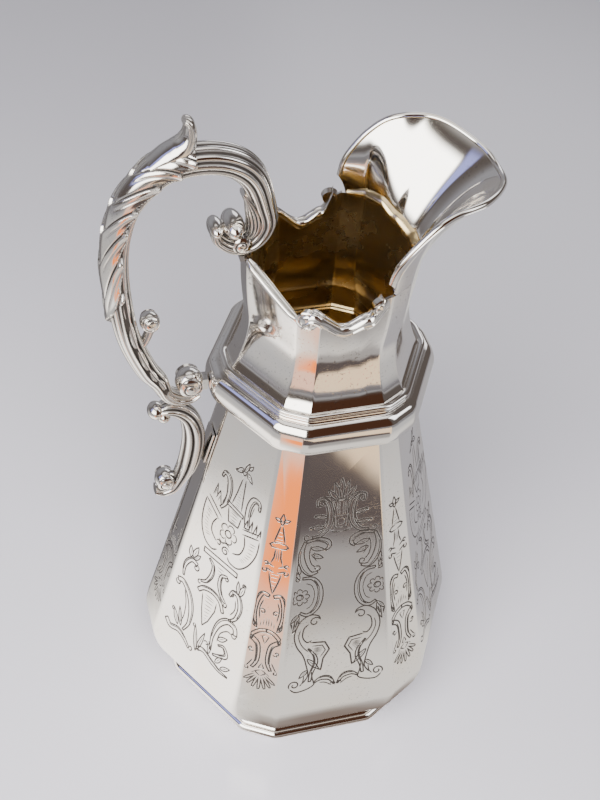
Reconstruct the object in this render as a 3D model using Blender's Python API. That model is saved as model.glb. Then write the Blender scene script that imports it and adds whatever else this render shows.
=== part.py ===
"""Silver water pitcher: a twelve-sided tapered jug with a scroll handle and a scooped spout.

The vessel's plan has six wide faces and six narrow ones that cut its corners. The body, the foot, the
belt and the neck share that plan, so each is given by its apothem: the distance from the axis to the
middle of a wide face. The handle is on the -X side, the spout on +X, and the foot stands on z = 0.
Every piece is a silver casting or a formed sheet, and the solder seams between them are left open.
"""

import bpy
import bmesh
from math import atan2, cos, degrees, hypot, pi, radians, sin, sqrt
from mathutils import Vector

MM = 0.001

# --- Plan shape -----------------------------------------------------------------------------------
NARROW_RATIO = 1.07            # narrow face's distance from the axis over the wide face's
WIDE_STEPS = 6                 # columns across a wide face of the neck
NARROW_STEPS = 2

# --- Shared sizes ---------------------------------------------------------------------------------
SEAM = 0.3 * MM                # solder seam between neighbouring pieces
WALL = 1.0 * MM                # sheet thickness of the vessel

# --- Foot -----------------------------------------------------------------------------------------
FOOT_APOTHEM = 47.8 * MM       # outermost line of the edge moulding
FOOT_EDGE_HEIGHT = 3.6 * MM
FOOT_EDGE_DEPTH = 2.6 * MM
FOOT_HEIGHT = 8.8 * MM

# --- Body -----------------------------------------------------------------------------------------
BODY_FOOT_APOTHEM = 42.0 * MM  # where the body meets the foot
BODY_MAX_APOTHEM = 56.4 * MM
BODY_MAX_Z = 33.7 * MM
BODY_TOP_APOTHEM = 31.0 * MM   # at the belt's lower edge
BODY_TOP_Z = 149.6 * MM
BODY_TONGUE = 7.4 * MM         # length hidden behind the belt
UNDERSIDE_STEPS = 7

# --- Belt between body and neck -------------------------------------------------------------------
BELT_HEIGHT = 16.0 * MM
BELT_PROJECTION = 5.6 * MM
BELT_ARC_STEPS = 8
BEAD_RADIUS = 0.8 * MM
BEAD_SIDES = 8

# --- Neck -----------------------------------------------------------------------------------------
NECK_COLLAR_APOTHEM = 30.6 * MM
NECK_WAIST_APOTHEM = 25.6 * MM
NECK_RIM_APOTHEM = 27.4 * MM
NECK_RISE = 46.4 * MM          # rim at the handle above the belt
NECK_WAIST_RISE = 20.5 * MM
NECK_ROWS = 7

# --- Rim ------------------------------------------------------------------------------------------
RIM_DEPTH = 2.4 * MM           # height of the moulding that caps the wall
RIM_WIDTH = 3.2 * MM
SPOUT_EDGE_AZIMUTH = 71.0      # where the spout takes over from the rim moulding
SCROLL_END_AZIMUTH = 73.5
SCROLL_START_AZIMUTH = 124.0
MOULDING_START_AZIMUTH = 127.2
# azimuth from the spout in degrees, height relative to the rim at the handle
RIM_LINE = (
    (0, -4.9 * MM),
    (7, -4.0 * MM),
    (23, -1.2 * MM),
    (39, 1.4 * MM),
    (72, 0.0 * MM),
    (82, -8.8 * MM),
    (97, -12.1 * MM),
    (117, -5.5 * MM),
    (127, -9.9 * MM),
    (172, 0.0 * MM),
    (180, 0.0 * MM),
)

# --- Spout ----------------------------------------------------------------------------------------
SPOUT_WALL = 1.3 * MM
SPOUT_ROWS = 7
SPOUT_COLUMNS = 32
LIP_RADIUS = 1.1 * MM
LIP_SIDES = 8
# azimuth, then how far the spout's rim stands out from the neck's plan: forward, sideways, upwards
SPOUT_RIM = (
    (0, 22.7 * MM, 0.0 * MM, 20.9 * MM),
    (12, 20.9 * MM, 5.0 * MM, 23.1 * MM),
    (28, 14.6 * MM, 9.9 * MM, 26.1 * MM),
    (44, 5.8 * MM, 7.4 * MM, 25.3 * MM),
    (56, 1.2 * MM, 4.2 * MM, 19.6 * MM),
    (66, -1.2 * MM, 1.7 * MM, 10.5 * MM),
    (71, -0.5 * MM, 0.6 * MM, 3.6 * MM),
)
SPOUT_FOOT_SHARE = 0.93        # the spout's foot is this much narrower than its rim, in azimuth
SPOUT_FLARE_START = 0.28       # how far out the spout has gone where it has made
SPOUT_FLARE_LIFT = 0.60        # this share of its rise

# --- Handle: main scroll --------------------------------------------------------------------------
SCROLL_SIDES = 12
VOLUTE_RADIUS = 7.8 * MM       # centreline radius at the bottom of the upper volute
VOLUTE_DEPTH = 2.6 * MM        # half depth of the scroll there
VOLUTE_OUTSET = 3.2 * MM       # volute's centre outside the neck's handle face
SADDLE_HEIGHT = 2.2 * MM
# polar line of the upper volute about its own centre: degrees, radius, half depth, half width
VOLUTE_LINE = (
    (-170, 6.3 * MM, 1.5 * MM, 3.0 * MM),
    (-135, 7.0 * MM, 2.1 * MM, 4.0 * MM),
    (-90, 7.8 * MM, 2.6 * MM, 4.8 * MM),
    (-45, 8.6 * MM, 3.1 * MM, 5.2 * MM),
    (0, 9.6 * MM, 3.6 * MM, 5.4 * MM),
    (41, 11.1 * MM, 4.0 * MM, 5.4 * MM),
)
# between the two volutes: share of the reach outside the line that joins the volutes' centres, share
# of the height, half depth, half width
ARCH_LINE = (
    (-0.140, 1.260, 4.1 * MM, 5.3 * MM),
    (0.010, 1.345, 4.1 * MM, 5.2 * MM),
    (0.225, 1.376, 4.1 * MM, 5.1 * MM),
    (0.470, 1.370, 4.1 * MM, 5.0 * MM),
    (0.670, 1.318, 4.1 * MM, 5.0 * MM),
    (0.868, 1.190, 4.0 * MM, 5.0 * MM),
    (0.960, 1.063, 4.0 * MM, 4.9 * MM),
    (0.966, 0.885, 4.0 * MM, 4.8 * MM),
    (0.861, 0.645, 4.0 * MM, 4.7 * MM),
    (0.685, 0.372, 3.9 * MM, 4.6 * MM),
    (0.449, 0.142, 3.7 * MM, 4.5 * MM),
    (0.292, 0.045, 3.2 * MM, 4.4 * MM),
)
HANDLE_REACH = 36.2 * MM       # greatest reach of the centreline, about
END_VOLUTE_OUTSET = 6.8 * MM   # lower volute's centre outside the belt
END_BALL_RADIUS = 4.3 * MM
END_BALL_WIDTH = 4.8 * MM
END_LINE = (
    (203, 7.9 * MM, 2.5 * MM, 4.3 * MM),
    (240, 6.7 * MM, 1.9 * MM, 4.1 * MM),
    (275, 6.1 * MM, 1.45 * MM, 3.8 * MM),
    (310, 5.8 * MM, 1.1 * MM, 3.2 * MM),
)
ROSETTE_RADIUS = 3.9 * MM
ROSETTE_WIDTH = 6.2 * MM

# --- Handle: leaf, spur and sprig -----------------------------------------------------------------
LEAF_THICKNESS = 1.2 * MM
LEAF_SPREAD = 75.0             # half the angle that the leaf wraps round the scroll
LEAF_START = 0.445             # shares of the main scroll's length
LEAF_END = 0.68
SPUR_HEIGHT = 10.5 * MM
SPUR_SIDES = 8
# share of the spur's height, lean towards the spout, half depth, half width
SPUR_SECTIONS = (
    (0.04, 0.0 * MM, 2.6 * MM, 3.2 * MM),
    (0.35, 0.9 * MM, 2.0 * MM, 3.0 * MM),
    (0.75, 0.7 * MM, 1.3 * MM, 2.4 * MM),
    (1.00, -0.3 * MM, 0.7 * MM, 1.4 * MM),
)
SPUR_SHARE = 0.415             # share of the main scroll's length where the spur stands
SPRIG_SHARE = 0.735            # share of the main scroll's length where the sprig springs
SPRIG_BALL = 3.4 * MM

# --- Lower scroll between the main scroll's end and the body --------------------------------------
PAD_THICKNESS = 0.8 * MM
PAD_HEIGHT = 13.0 * MM
PAD_WIDTH = 7.0 * MM
PAD_DROP = 30.5 * MM           # pad's middle below the lower volute's centre
# outward from the pad's face line, height over the pad's middle, half depth, half width
LOWER_LINE = (
    (12.6 * MM, 19.5 * MM, 1.5 * MM, 3.0 * MM),
    (9.4 * MM, 20.3 * MM, 2.2 * MM, 3.8 * MM),
    (5.6 * MM, 19.0 * MM, 2.8 * MM, 4.2 * MM),
    (2.2 * MM, 15.2 * MM, 3.3 * MM, 4.4 * MM),
    (0.4 * MM, 9.4 * MM, 3.6 * MM, 4.5 * MM),
    (0.0 * MM, 3.0 * MM, 3.7 * MM, 4.5 * MM),
    (0.9 * MM, -4.0 * MM, 3.7 * MM, 4.5 * MM),
    (2.5 * MM, -10.2 * MM, 3.3 * MM, 4.4 * MM),
    (4.9 * MM, -15.6 * MM, 2.6 * MM, 4.2 * MM),
    (7.4 * MM, -19.6 * MM, 1.9 * MM, 3.9 * MM),
    (10.8 * MM, -21.3 * MM, 1.5 * MM, 3.4 * MM),
    (13.8 * MM, -20.4 * MM, 1.1 * MM, 2.8 * MM),
)
LOWER_BALL_OUT = 11.2 * MM
LOWER_BALL_DROP = 15.9 * MM
LOWER_BALL_RADIUS = 3.4 * MM
CURL_RADIUS = 2.7 * MM

# --- Worked out from the sizes above --------------------------------------------------------------
HALF_NARROW = 2 - sqrt(3) * NARROW_RATIO
CORNER_RATIO = hypot(NARROW_RATIO, HALF_NARROW)
CORNER_AZIMUTH = degrees(atan2(HALF_NARROW, NARROW_RATIO))
BODY_TAPER = (BODY_MAX_APOTHEM - BODY_TOP_APOTHEM) / (BODY_TOP_Z - BODY_MAX_Z)
BELT_TOP_Z = BODY_TOP_Z + BELT_HEIGHT + SEAM
BELT_MID_Z = BODY_TOP_Z + SEAM + BELT_HEIGHT / 2
BELT_INNER = max(BODY_TOP_APOTHEM, NECK_COLLAR_APOTHEM) + SEAM
BELT_APOTHEM = BELT_INNER + BELT_PROJECTION
RIM_Z = BELT_TOP_Z + NECK_RISE
NECK_FACE_X = NECK_RIM_APOTHEM * NARROW_RATIO
VOLUTE_CENTRE = (-NECK_FACE_X - VOLUTE_OUTSET, RIM_Z + SEAM + VOLUTE_RADIUS + VOLUTE_DEPTH)
END_CENTRE = (-BELT_APOTHEM * NARROW_RATIO - END_VOLUTE_OUTSET, BELT_MID_Z)

SILVER = (0.93, 0.92, 0.90, 1.0)
GILT = (0.86, 0.68, 0.36, 1.0)


# --- Materials and objects ------------------------------------------------------------------------
def metal(name, colour, roughness):
    """A polished metal for one piece."""
    material = bpy.data.materials.new(name)
    material.use_nodes = True
    shader = material.node_tree.nodes["Principled BSDF"]
    shader.inputs["Base Color"].default_value = colour
    shader.inputs["Metallic"].default_value = 1.0
    shader.inputs["Roughness"].default_value = roughness
    return material


def add_object(name, mesh_data, colour=SILVER, roughness=0.12, crease=35.0):
    """An object for the bmesh, with its faces out, its own metal and the shared parent."""
    bmesh.ops.recalc_face_normals(mesh_data, faces=mesh_data.faces)
    if mesh_data.calc_volume(signed=True) < 0:
        bmesh.ops.reverse_faces(mesh_data, faces=mesh_data.faces)
    mesh = bpy.data.meshes.new(name)
    mesh_data.to_mesh(mesh)
    mesh_data.free()
    mesh.shade_smooth()
    mesh.set_sharp_from_angle(angle=radians(crease))
    mesh.materials.append(metal(name, colour, roughness))
    piece = bpy.data.objects.new(name, mesh)
    bpy.context.scene.collection.objects.link(piece)
    piece.parent = bpy.data.objects["vessel_axis"]
    return piece


# --- Plan helpers ---------------------------------------------------------------------------------
def corner_azimuths():
    """Azimuths of the twelve corners in degrees, counter-clockwise from just before the spout."""
    azimuths = []
    for side in range(6):
        azimuths.append(60 * side - CORNER_AZIMUTH)
        azimuths.append(60 * side + CORNER_AZIMUTH)
    return azimuths


def column_azimuths():
    """Azimuths of the neck's columns: every corner, steps across each face, and the rim's joints."""
    corners = corner_azimuths()
    columns = []
    for index, start in enumerate(corners):
        end = corners[(index + 1) % 12] + (360 if index == 11 else 0)
        steps = NARROW_STEPS if index % 2 == 0 else WIDE_STEPS
        for step in range(steps):
            columns.append(start + (end - start) * step / steps)
    for joint in (SCROLL_END_AZIMUTH, SCROLL_START_AZIMUTH, MOULDING_START_AZIMUTH):
        columns += [joint, 360 - joint]
    return sorted(columns)


def plan_radius(azimuth, apothem):
    """Distance from the axis to the twelve-sided outline at an azimuth in degrees."""
    reach = []
    for face in range(12):
        turn = cos(radians(azimuth - 30 * face))
        if turn > 0.5:
            distance = apothem * (NARROW_RATIO if face % 2 == 0 else 1.0)
            reach.append(distance / turn)
    return min(reach)


def on_plan(azimuth, apothem, z):
    """A point of the twelve-sided outline of that apothem at height z."""
    radius = plan_radius(azimuth, apothem)
    return Vector((radius * cos(radians(azimuth)), radius * sin(radians(azimuth)), z))


# --- Mesh helpers ---------------------------------------------------------------------------------
def join_rings(mesh_data, rings, close_length, close_ring=True):
    """Quads between neighbouring rings of points; the last ring joins the first when closed."""
    loops = [[mesh_data.verts.new(point) for point in ring] for ring in rings]
    count = len(loops[0])
    last = len(loops) if close_length else len(loops) - 1
    across = count if close_ring else count - 1
    for index in range(last):
        here = loops[index]
        there = loops[(index + 1) % len(loops)]
        for side in range(across):
            after = (side + 1) % count
            mesh_data.faces.new((here[side], here[after], there[after], there[side]))
    return loops


def faceted_ring(name, section, colour=SILVER, roughness=0.12):
    """A closed section of (apothem, z) points carried round the twelve corners."""
    mesh_data = bmesh.new()
    rings = []
    for azimuth in corner_azimuths():
        rings.append([on_plan(azimuth, apothem, z) for apothem, z in section])
    join_rings(mesh_data, rings, close_length=True)
    return add_object(name, mesh_data, colour, roughness)


def swept(name, rings, colour=SILVER, roughness=0.12):
    """A closed bar through section rings, with flat ends."""
    mesh_data = bmesh.new()
    loops = join_rings(mesh_data, rings, close_length=False)
    mesh_data.faces.new(loops[0])
    mesh_data.faces.new(loops[-1])
    return add_object(name, mesh_data, colour, roughness)


def ball(name, centre, radius, width, segments=16, rings=10):
    """A ball squashed or stretched sideways, with its poles on Y."""
    mesh_data = bmesh.new()
    bmesh.ops.create_uvsphere(mesh_data, u_segments=segments, v_segments=rings, radius=radius)
    for vert in mesh_data.verts:
        x, y, z = vert.co
        vert.co = (centre[0] + x, -z * width / radius, centre[1] + y)
    return add_object(name, mesh_data)


def smooth_line(keys, steps):
    """A Catmull-Rom line through equally long tuples, with that many steps between keys."""
    padded = [keys[0]] + list(keys) + [keys[-1]]
    line = []
    for index in range(1, len(padded) - 2):
        before, start, end, after = padded[index - 1:index + 3]
        for step in range(steps):
            t = step / steps
            line.append(tuple(
                b + 0.5 * t * (c - a + t * (2 * a - 5 * b + 4 * c - d + t * (3 * (b - c) + d - a)))
                for a, b, c, d in zip(before, start, end, after)))
    line.append(tuple(keys[-1]))
    return line


def scroll_frames(line):
    """For each (x, z, half depth, half width): centre, outward normal in the XZ plane, half sizes."""
    frames = []
    for index, (x, z, depth, width) in enumerate(line):
        before = line[max(index - 1, 0)]
        after = line[min(index + 1, len(line) - 1)]
        along = Vector((after[0] - before[0], 0, after[1] - before[1])).normalized()
        frames.append((Vector((x, 0, z)), Vector((-along.z, 0, along.x)), depth, width))
    return frames


def scroll_bar(name, line, sides=SCROLL_SIDES):
    """A bar with an elliptical section along a line in the XZ plane."""
    rings = []
    for centre, normal, depth, width in scroll_frames(line):
        ring = []
        for side in range(sides):
            turn = 2 * pi * (side + 0.5) / sides
            ring.append(centre + normal * depth * cos(turn) + Vector((0, width * sin(turn), 0)))
        rings.append(ring)
    return swept(name, rings)


# --- Foot and body --------------------------------------------------------------------------------
def body_apothem(z):
    """Outer apothem of the tapered part of the body."""
    return BODY_MAX_APOTHEM - BODY_TAPER * (z - BODY_MAX_Z)


def make_foot():
    """The spreading foot, hollow underneath, and the moulding round its edge."""
    crease = FOOT_APOTHEM - FOOT_EDGE_DEPTH * 0.65
    top = FOOT_HEIGHT
    bottom = FOOT_EDGE_HEIGHT + SEAM
    waist = (crease + BODY_FOOT_APOTHEM) / 2 - 0.5 * MM
    faceted_ring("foot_ring", (
        (crease, bottom),
        (waist, (top + bottom) / 2),
        (BODY_FOOT_APOTHEM, top),
        (BODY_FOOT_APOTHEM - WALL, top),
        (waist - WALL, (top + bottom) / 2),
        (crease - WALL * 1.4, bottom),
    ))
    inner = FOOT_APOTHEM - FOOT_EDGE_DEPTH
    chamfer = FOOT_EDGE_DEPTH * 0.3
    faceted_ring("foot_edge_moulding", (
        (inner, 0),
        (FOOT_APOTHEM - chamfer, 0),
        (FOOT_APOTHEM, chamfer),
        (FOOT_APOTHEM, FOOT_EDGE_HEIGHT * 0.55),
        (FOOT_APOTHEM - chamfer, FOOT_EDGE_HEIGHT * 0.9),
        (crease, FOOT_EDGE_HEIGHT),
        (inner, FOOT_EDGE_HEIGHT),
    ))


def make_body():
    """The tapered shell, rounded under its widest line, and the plate that closes its bottom."""
    bottom = FOOT_HEIGHT + SEAM
    outer = []
    for step in range(UNDERSIDE_STEPS + 1):
        turn = pi / 2 * step / UNDERSIDE_STEPS
        apothem = BODY_FOOT_APOTHEM + (BODY_MAX_APOTHEM - BODY_FOOT_APOTHEM) * sin(turn)
        outer.append((apothem, BODY_MAX_Z - (BODY_MAX_Z - bottom) * cos(turn)))
    top = BODY_TOP_Z + BODY_TONGUE
    outer.append((body_apothem(top), top))
    inner = [(apothem - WALL, z + (WALL if z < BODY_MAX_Z else 0)) for apothem, z in outer]
    inner[0] = (BODY_FOOT_APOTHEM - WALL, bottom)
    inner[-1] = (body_apothem(top) - WALL, top)
    faceted_ring("body_shell", outer + inner[::-1])

    mesh_data = bmesh.new()
    apothem = BODY_FOOT_APOTHEM - WALL - SEAM
    rings = []
    for z in (bottom, bottom + WALL):
        rings.append([on_plan(azimuth, apothem, z) for azimuth in corner_azimuths()])
    loops = join_rings(mesh_data, rings, close_length=False)
    mesh_data.faces.new(loops[0])
    mesh_data.faces.new(loops[-1])
    add_object("base_plate", mesh_data, GILT)


def make_belt():
    """The hollow half-round belt over the joint of body and neck, and the bead above it."""
    outer = []
    inner = []
    for step in range(BELT_ARC_STEPS + 1):
        turn = -pi / 2 + pi * step / BELT_ARC_STEPS
        for arc, wall in ((outer, 0), (inner, WALL)):
            out = (BELT_PROJECTION - wall) * cos(turn)
            arc.append((BELT_INNER + out, BELT_MID_Z + (BELT_HEIGHT / 2 - wall) * sin(turn)))
    faceted_ring("belt_moulding", outer + inner[::-1])

    bead = []
    apothem = BELT_INNER + BEAD_RADIUS
    for side in range(BEAD_SIDES):
        turn = 2 * pi * (side + 0.5) / BEAD_SIDES
        z = BELT_TOP_Z + SEAM + BEAD_RADIUS + BEAD_RADIUS * sin(turn)
        bead.append((apothem + BEAD_RADIUS * cos(turn), z))
    faceted_ring("belt_bead", bead)


# --- Neck and rim ---------------------------------------------------------------------------------
def folded(azimuth):
    """Azimuth from the spout, 0 to 180 on either side."""
    return abs((azimuth + 180) % 360 - 180)


def rim_height(azimuth):
    """Top of the rim at an azimuth: straight along the handle side, eased elsewhere."""
    where = folded(azimuth)
    for (start, low), (end, high) in zip(RIM_LINE, RIM_LINE[1:]):
        if where <= end:
            t = (where - start) / (end - start)
            ease = t if start >= 127 else t * t * (3 - 2 * t)
            return RIM_Z + low + (high - low) * ease
    return RIM_Z


def neck_apothem(z):
    """Outer apothem of the concave neck: a vertical collar, then a waist, then a slight flare."""
    rise = z - BELT_TOP_Z
    if rise <= 0:
        return NECK_COLLAR_APOTHEM
    if rise <= NECK_WAIST_RISE:
        t = 1 - rise / NECK_WAIST_RISE
        return NECK_WAIST_APOTHEM + (NECK_COLLAR_APOTHEM - NECK_WAIST_APOTHEM) * t ** 2
    t = (rise - NECK_WAIST_RISE) / (NECK_RISE - NECK_WAIST_RISE)
    return NECK_WAIST_APOTHEM + (NECK_RIM_APOTHEM - NECK_WAIST_APOTHEM) * (1 - (1 - min(t, 1)) ** 2)


def make_neck():
    """The neck's wall, cut along the rim line a moulding's height below the finished rim."""
    foot = BODY_TOP_Z + BODY_TONGUE + SEAM
    rings = []
    for azimuth in column_azimuths():
        top = rim_height(azimuth) - RIM_DEPTH - SEAM
        heights = [foot, BELT_TOP_Z]
        for row in range(1, NECK_ROWS + 1):
            heights.append(BELT_TOP_Z + (top - BELT_TOP_Z) * row / NECK_ROWS)
        outer = [on_plan(azimuth, neck_apothem(z), z) for z in heights]
        inner = [on_plan(azimuth, neck_apothem(z) - WALL, z) for z in heights]
        rings.append(outer + inner[::-1])
    mesh_data = bmesh.new()
    join_rings(mesh_data, rings, close_length=True)
    add_object("neck_shell", mesh_data)


def rim_cap(name, start, end, swell):
    """A moulding that caps the wall between two azimuths; swell widens its ends into scrolls."""
    turn = 360 if start < 0 else 0
    columns = [a - turn for a in column_azimuths() if start < a - turn < end]
    columns = [start] + columns + [end]
    rings = []
    for azimuth in columns:
        t = abs((azimuth - start) / (end - start) * 2 - 1)
        half = RIM_WIDTH / 2 * (1 + swell * t ** 4)
        top = rim_height(azimuth)
        bottom = top - RIM_DEPTH
        chamfer = RIM_DEPTH * 0.3
        middle = neck_apothem(bottom) - WALL / 2
        section = (
            (half - chamfer, bottom),
            (half, bottom + chamfer),
            (half, top - chamfer),
            (half - chamfer, top),
            (chamfer - half, top),
            (-half, top - chamfer),
            (-half, bottom + chamfer),
            (chamfer - half, bottom),
        )
        rings.append([on_plan(azimuth, middle + out, z) for out, z in section])
    swept(name, rings)


def make_rim():
    """Straight mouldings beside the handle and scrolled ones over the dips, on both sides."""
    handle_corner = 180 - CORNER_AZIMUTH - 1.0
    rim_cap("rim_moulding_far", MOULDING_START_AZIMUTH, handle_corner, 0.0)
    rim_cap("rim_moulding_near", -handle_corner, -MOULDING_START_AZIMUTH, 0.0)
    rim_cap("rim_scroll_far", SCROLL_END_AZIMUTH, SCROLL_START_AZIMUTH, 0.35)
    rim_cap("rim_scroll_near", -SCROLL_START_AZIMUTH, -SCROLL_END_AZIMUTH, 0.35)


# --- Spout ----------------------------------------------------------------------------------------
def spout_rim_line():
    """The spout's rim on one side as (azimuth, forward, sideways, height) points, smoothed."""
    keys = []
    for azimuth, forward, sideways, rise in SPOUT_RIM:
        base = on_plan(azimuth, NECK_RIM_APOTHEM, RIM_Z)
        keys.append((azimuth, base.x + forward, base.y + sideways, RIM_Z + rise))
    mirrored = [(-azimuth, x, -y, z) for azimuth, x, y, z in keys[:0:-1]]
    return [key for key in smooth_line(mirrored + keys, 6) if key[0] >= 0]


def spout_rim_point(azimuth, line):
    """A point of the spout's rim above the neck's column at that azimuth, either side."""
    where = min(abs(azimuth), line[-1][0])
    side = 1 if azimuth > 0 else -1
    for start, end in zip(line, line[1:]):
        if where <= end[0]:
            t = (where - start[0]) / (end[0] - start[0])
            x, y, z = (a + (b - a) * t for a, b in zip(start[1:], end[1:]))
            return Vector((x, side * y, z))
    return Vector((line[-1][1], side * line[-1][2], line[-1][3]))


def spout_columns():
    """Azimuth, foot, bend and rim of each of the spout's columns, near side to far side."""
    line = spout_rim_line()
    columns = []
    for step in range(SPOUT_COLUMNS + 1):
        azimuth = -SPOUT_EDGE_AZIMUTH + 2 * SPOUT_EDGE_AZIMUTH * step / SPOUT_COLUMNS
        below = azimuth * SPOUT_FOOT_SHARE
        z = rim_height(below) - RIM_DEPTH
        foot = on_plan(below, neck_apothem(z) - WALL / 2, z)
        rim = spout_rim_point(azimuth, line)
        bend = Vector((
            foot.x + (rim.x - foot.x) * SPOUT_FLARE_START,
            foot.y + (rim.y - foot.y) * SPOUT_FLARE_START,
            foot.z + (rim.z - foot.z) * SPOUT_FLARE_LIFT,
        ))
        columns.append((azimuth, foot, bend, rim))
    return columns


def lip_frames():
    """For each column: the rim's point, the wall's normal there, and the way up across the rim."""
    columns = spout_columns()
    frames = []
    for index, (azimuth, foot, bend, rim) in enumerate(columns):
        before = columns[max(index - 1, 0)][3]
        after = columns[min(index + 1, len(columns) - 1)][3]
        along = (after - before).normalized()
        normal = along.cross(rim - bend).normalized()
        frames.append((rim, normal, normal.cross(along)))
    return frames


def make_spout():
    """The scooped spout, standing on the neck's front, and the wire round its lip."""
    columns = spout_columns()
    frames = lip_frames()
    grid = []
    for (azimuth, foot, bend, rim), (edge, normal, up) in zip(columns, frames):
        end = edge - up * (2 * LIP_RADIUS + 2 * SEAM)
        column = []
        for row in range(SPOUT_ROWS + 1):
            t = row / SPOUT_ROWS
            column.append(foot * (1 - t) ** 2 + bend * 2 * t * (1 - t) + end * t ** 2)
        grid.append(column)

    rings = []
    for index, column in enumerate(grid):
        before = grid[max(index - 1, 0)]
        after = grid[min(index + 1, len(grid) - 1)]
        azimuth = radians(columns[index][0])
        level = Vector((cos(azimuth), sin(azimuth), 0))
        outer = []
        inner = []
        for row, point in enumerate(column):
            up = column[min(row + 1, SPOUT_ROWS)] - column[max(row - 1, 0)]
            normal = (after[row] - before[row]).cross(up).normalized()
            if row == SPOUT_ROWS:
                normal = frames[index][1]
            share = min(row / 2, 1)
            out = (level * (1 - share) + normal * share).normalized() * SPOUT_WALL / 2
            outer.append(point + out)
            inner.append(point - out)
        rings.append(outer + inner[::-1])
    swept("spout", rings)

    rings = []
    for edge, normal, up in frames:
        centre = edge - up * LIP_RADIUS
        ring = []
        for side in range(LIP_SIDES):
            turn = 2 * pi * (side + 0.5) / LIP_SIDES
            ring.append(centre + (normal * cos(turn) + up * sin(turn)) * LIP_RADIUS)
        rings.append(ring)
    swept("spout_lip_wire", rings)


# --- Handle ---------------------------------------------------------------------------------------
def polar(centre, keys):
    """Turns (degrees, radius, ...) keys about a centre into (x, z, ...) keys."""
    line = []
    for turn, radius, depth, width in keys:
        x = centre[0] + radius * cos(radians(turn))
        z = centre[1] + radius * sin(radians(turn))
        line.append((x, z, depth, width))
    return line


def main_scroll_line():
    """Centreline of the main scroll from the upper volute over the arch to the lower volute."""
    height = VOLUTE_CENTRE[1] - END_CENTRE[1]
    arch = []
    for out, up, depth, width in ARCH_LINE:
        inner = END_CENTRE[0] + (VOLUTE_CENTRE[0] - END_CENTRE[0]) * min(up, 1)
        arch.append((inner - HANDLE_REACH * out, END_CENTRE[1] + height * up, depth, width))
    keys = polar(VOLUTE_CENTRE, VOLUTE_LINE) + arch + polar(END_CENTRE, END_LINE)
    return smooth_line(keys, 3)


def at_share(line, share):
    """Index of the line's point at that share of its points."""
    return round(share * (len(line) - 1))


def make_main_scroll():
    """The cast main scroll, the rosette in its upper volute and the ball in its lower one."""
    scroll_bar("handle_main_scroll", main_scroll_line())
    ball("volute_rosette", VOLUTE_CENTRE, ROSETTE_RADIUS, ROSETTE_WIDTH)
    ball("handle_end_ball", END_CENTRE, END_BALL_RADIUS, END_BALL_WIDTH)

    top = RIM_Z - 0.1 * MM
    face = neck_apothem(RIM_Z) * NARROW_RATIO
    box("upper_saddle", (-face - 1.6 * MM, -3.0 * MM, top - SADDLE_HEIGHT),
        (-face + WALL + 0.8 * MM, 3.0 * MM, top))
    belt_x = -BELT_APOTHEM * NARROW_RATIO
    box("belt_lug", (END_CENTRE[0] + END_BALL_RADIUS + SEAM, -2.0 * MM, BELT_MID_Z - 2.2 * MM),
        (belt_x - SEAM, 2.0 * MM, BELT_MID_Z + 2.2 * MM))


def box(name, low, high):
    """A rectangular block between two corners."""
    mesh_data = bmesh.new()
    bmesh.ops.create_cube(mesh_data, size=1.0)
    for vert in mesh_data.verts:
        for axis in range(3):
            vert.co[axis] = low[axis] if vert.co[axis] < 0 else high[axis]
    return add_object(name, mesh_data)


def make_leaf():
    """The acanthus leaf over the back of the arch, the thumb spur at its tip and the inner sprig."""
    line = main_scroll_line()
    frames = scroll_frames(line)
    first = at_share(line, LEAF_START)
    last = at_share(line, LEAF_END)
    rings = []
    for centre, normal, depth, width in frames[first:last + 1]:
        turns = [radians(LEAF_SPREAD * (step / 4 - 1)) for step in range(9)]
        inner = []
        outer = []
        for turn in turns:
            for ring, extra in ((inner, SEAM), (outer, SEAM + LEAF_THICKNESS)):
                out = normal * -(depth + extra) * cos(turn)
                ring.append(centre + out + Vector((0, (width + extra) * sin(turn), 0)))
        rings.append(outer + inner[::-1])
    swept("handle_leaf", rings)

    centre, normal, depth, width = frames[at_share(line, SPUR_SHARE)]
    base = centre - normal * (depth + SEAM)
    spur = []
    for rise, lean, half, side in SPUR_SECTIONS:
        middle = base + Vector((lean, 0, SPUR_HEIGHT * rise))
        ring = []
        for index in range(SPUR_SIDES):
            turn = 2 * pi * (index + 0.5) / SPUR_SIDES
            ring.append(middle + Vector((half * cos(turn), side * sin(turn), 0)))
        spur.append(ring)
    swept("thumb_spur", spur)

    centre, normal, depth, width = frames[at_share(line, SPRIG_SHARE)]
    root = centre + normal * (depth + SEAM + 1.5 * MM)
    keys = (
        (root.x, root.z, 1.1 * MM, 1.8 * MM),
        (root.x + 1.2 * MM, root.z + 3.6 * MM, 1.2 * MM, 1.9 * MM),
        (root.x + 1.4 * MM, root.z + 6.6 * MM, 1.4 * MM, 2.0 * MM),
        (root.x + 0.5 * MM, root.z + 8.4 * MM, SPRIG_BALL * 0.8, SPRIG_BALL * 0.8),
        (root.x + 0.2 * MM, root.z + 10.4 * MM, SPRIG_BALL, SPRIG_BALL),
        (root.x + 0.0 * MM, root.z + 12.4 * MM, SPRIG_BALL * 0.75, SPRIG_BALL * 0.75),
        (root.x + 0.0 * MM, root.z + 13.4 * MM, SPRIG_BALL * 0.2, SPRIG_BALL * 0.2),
    )
    scroll_bar("handle_sprig", keys, 10)


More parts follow.
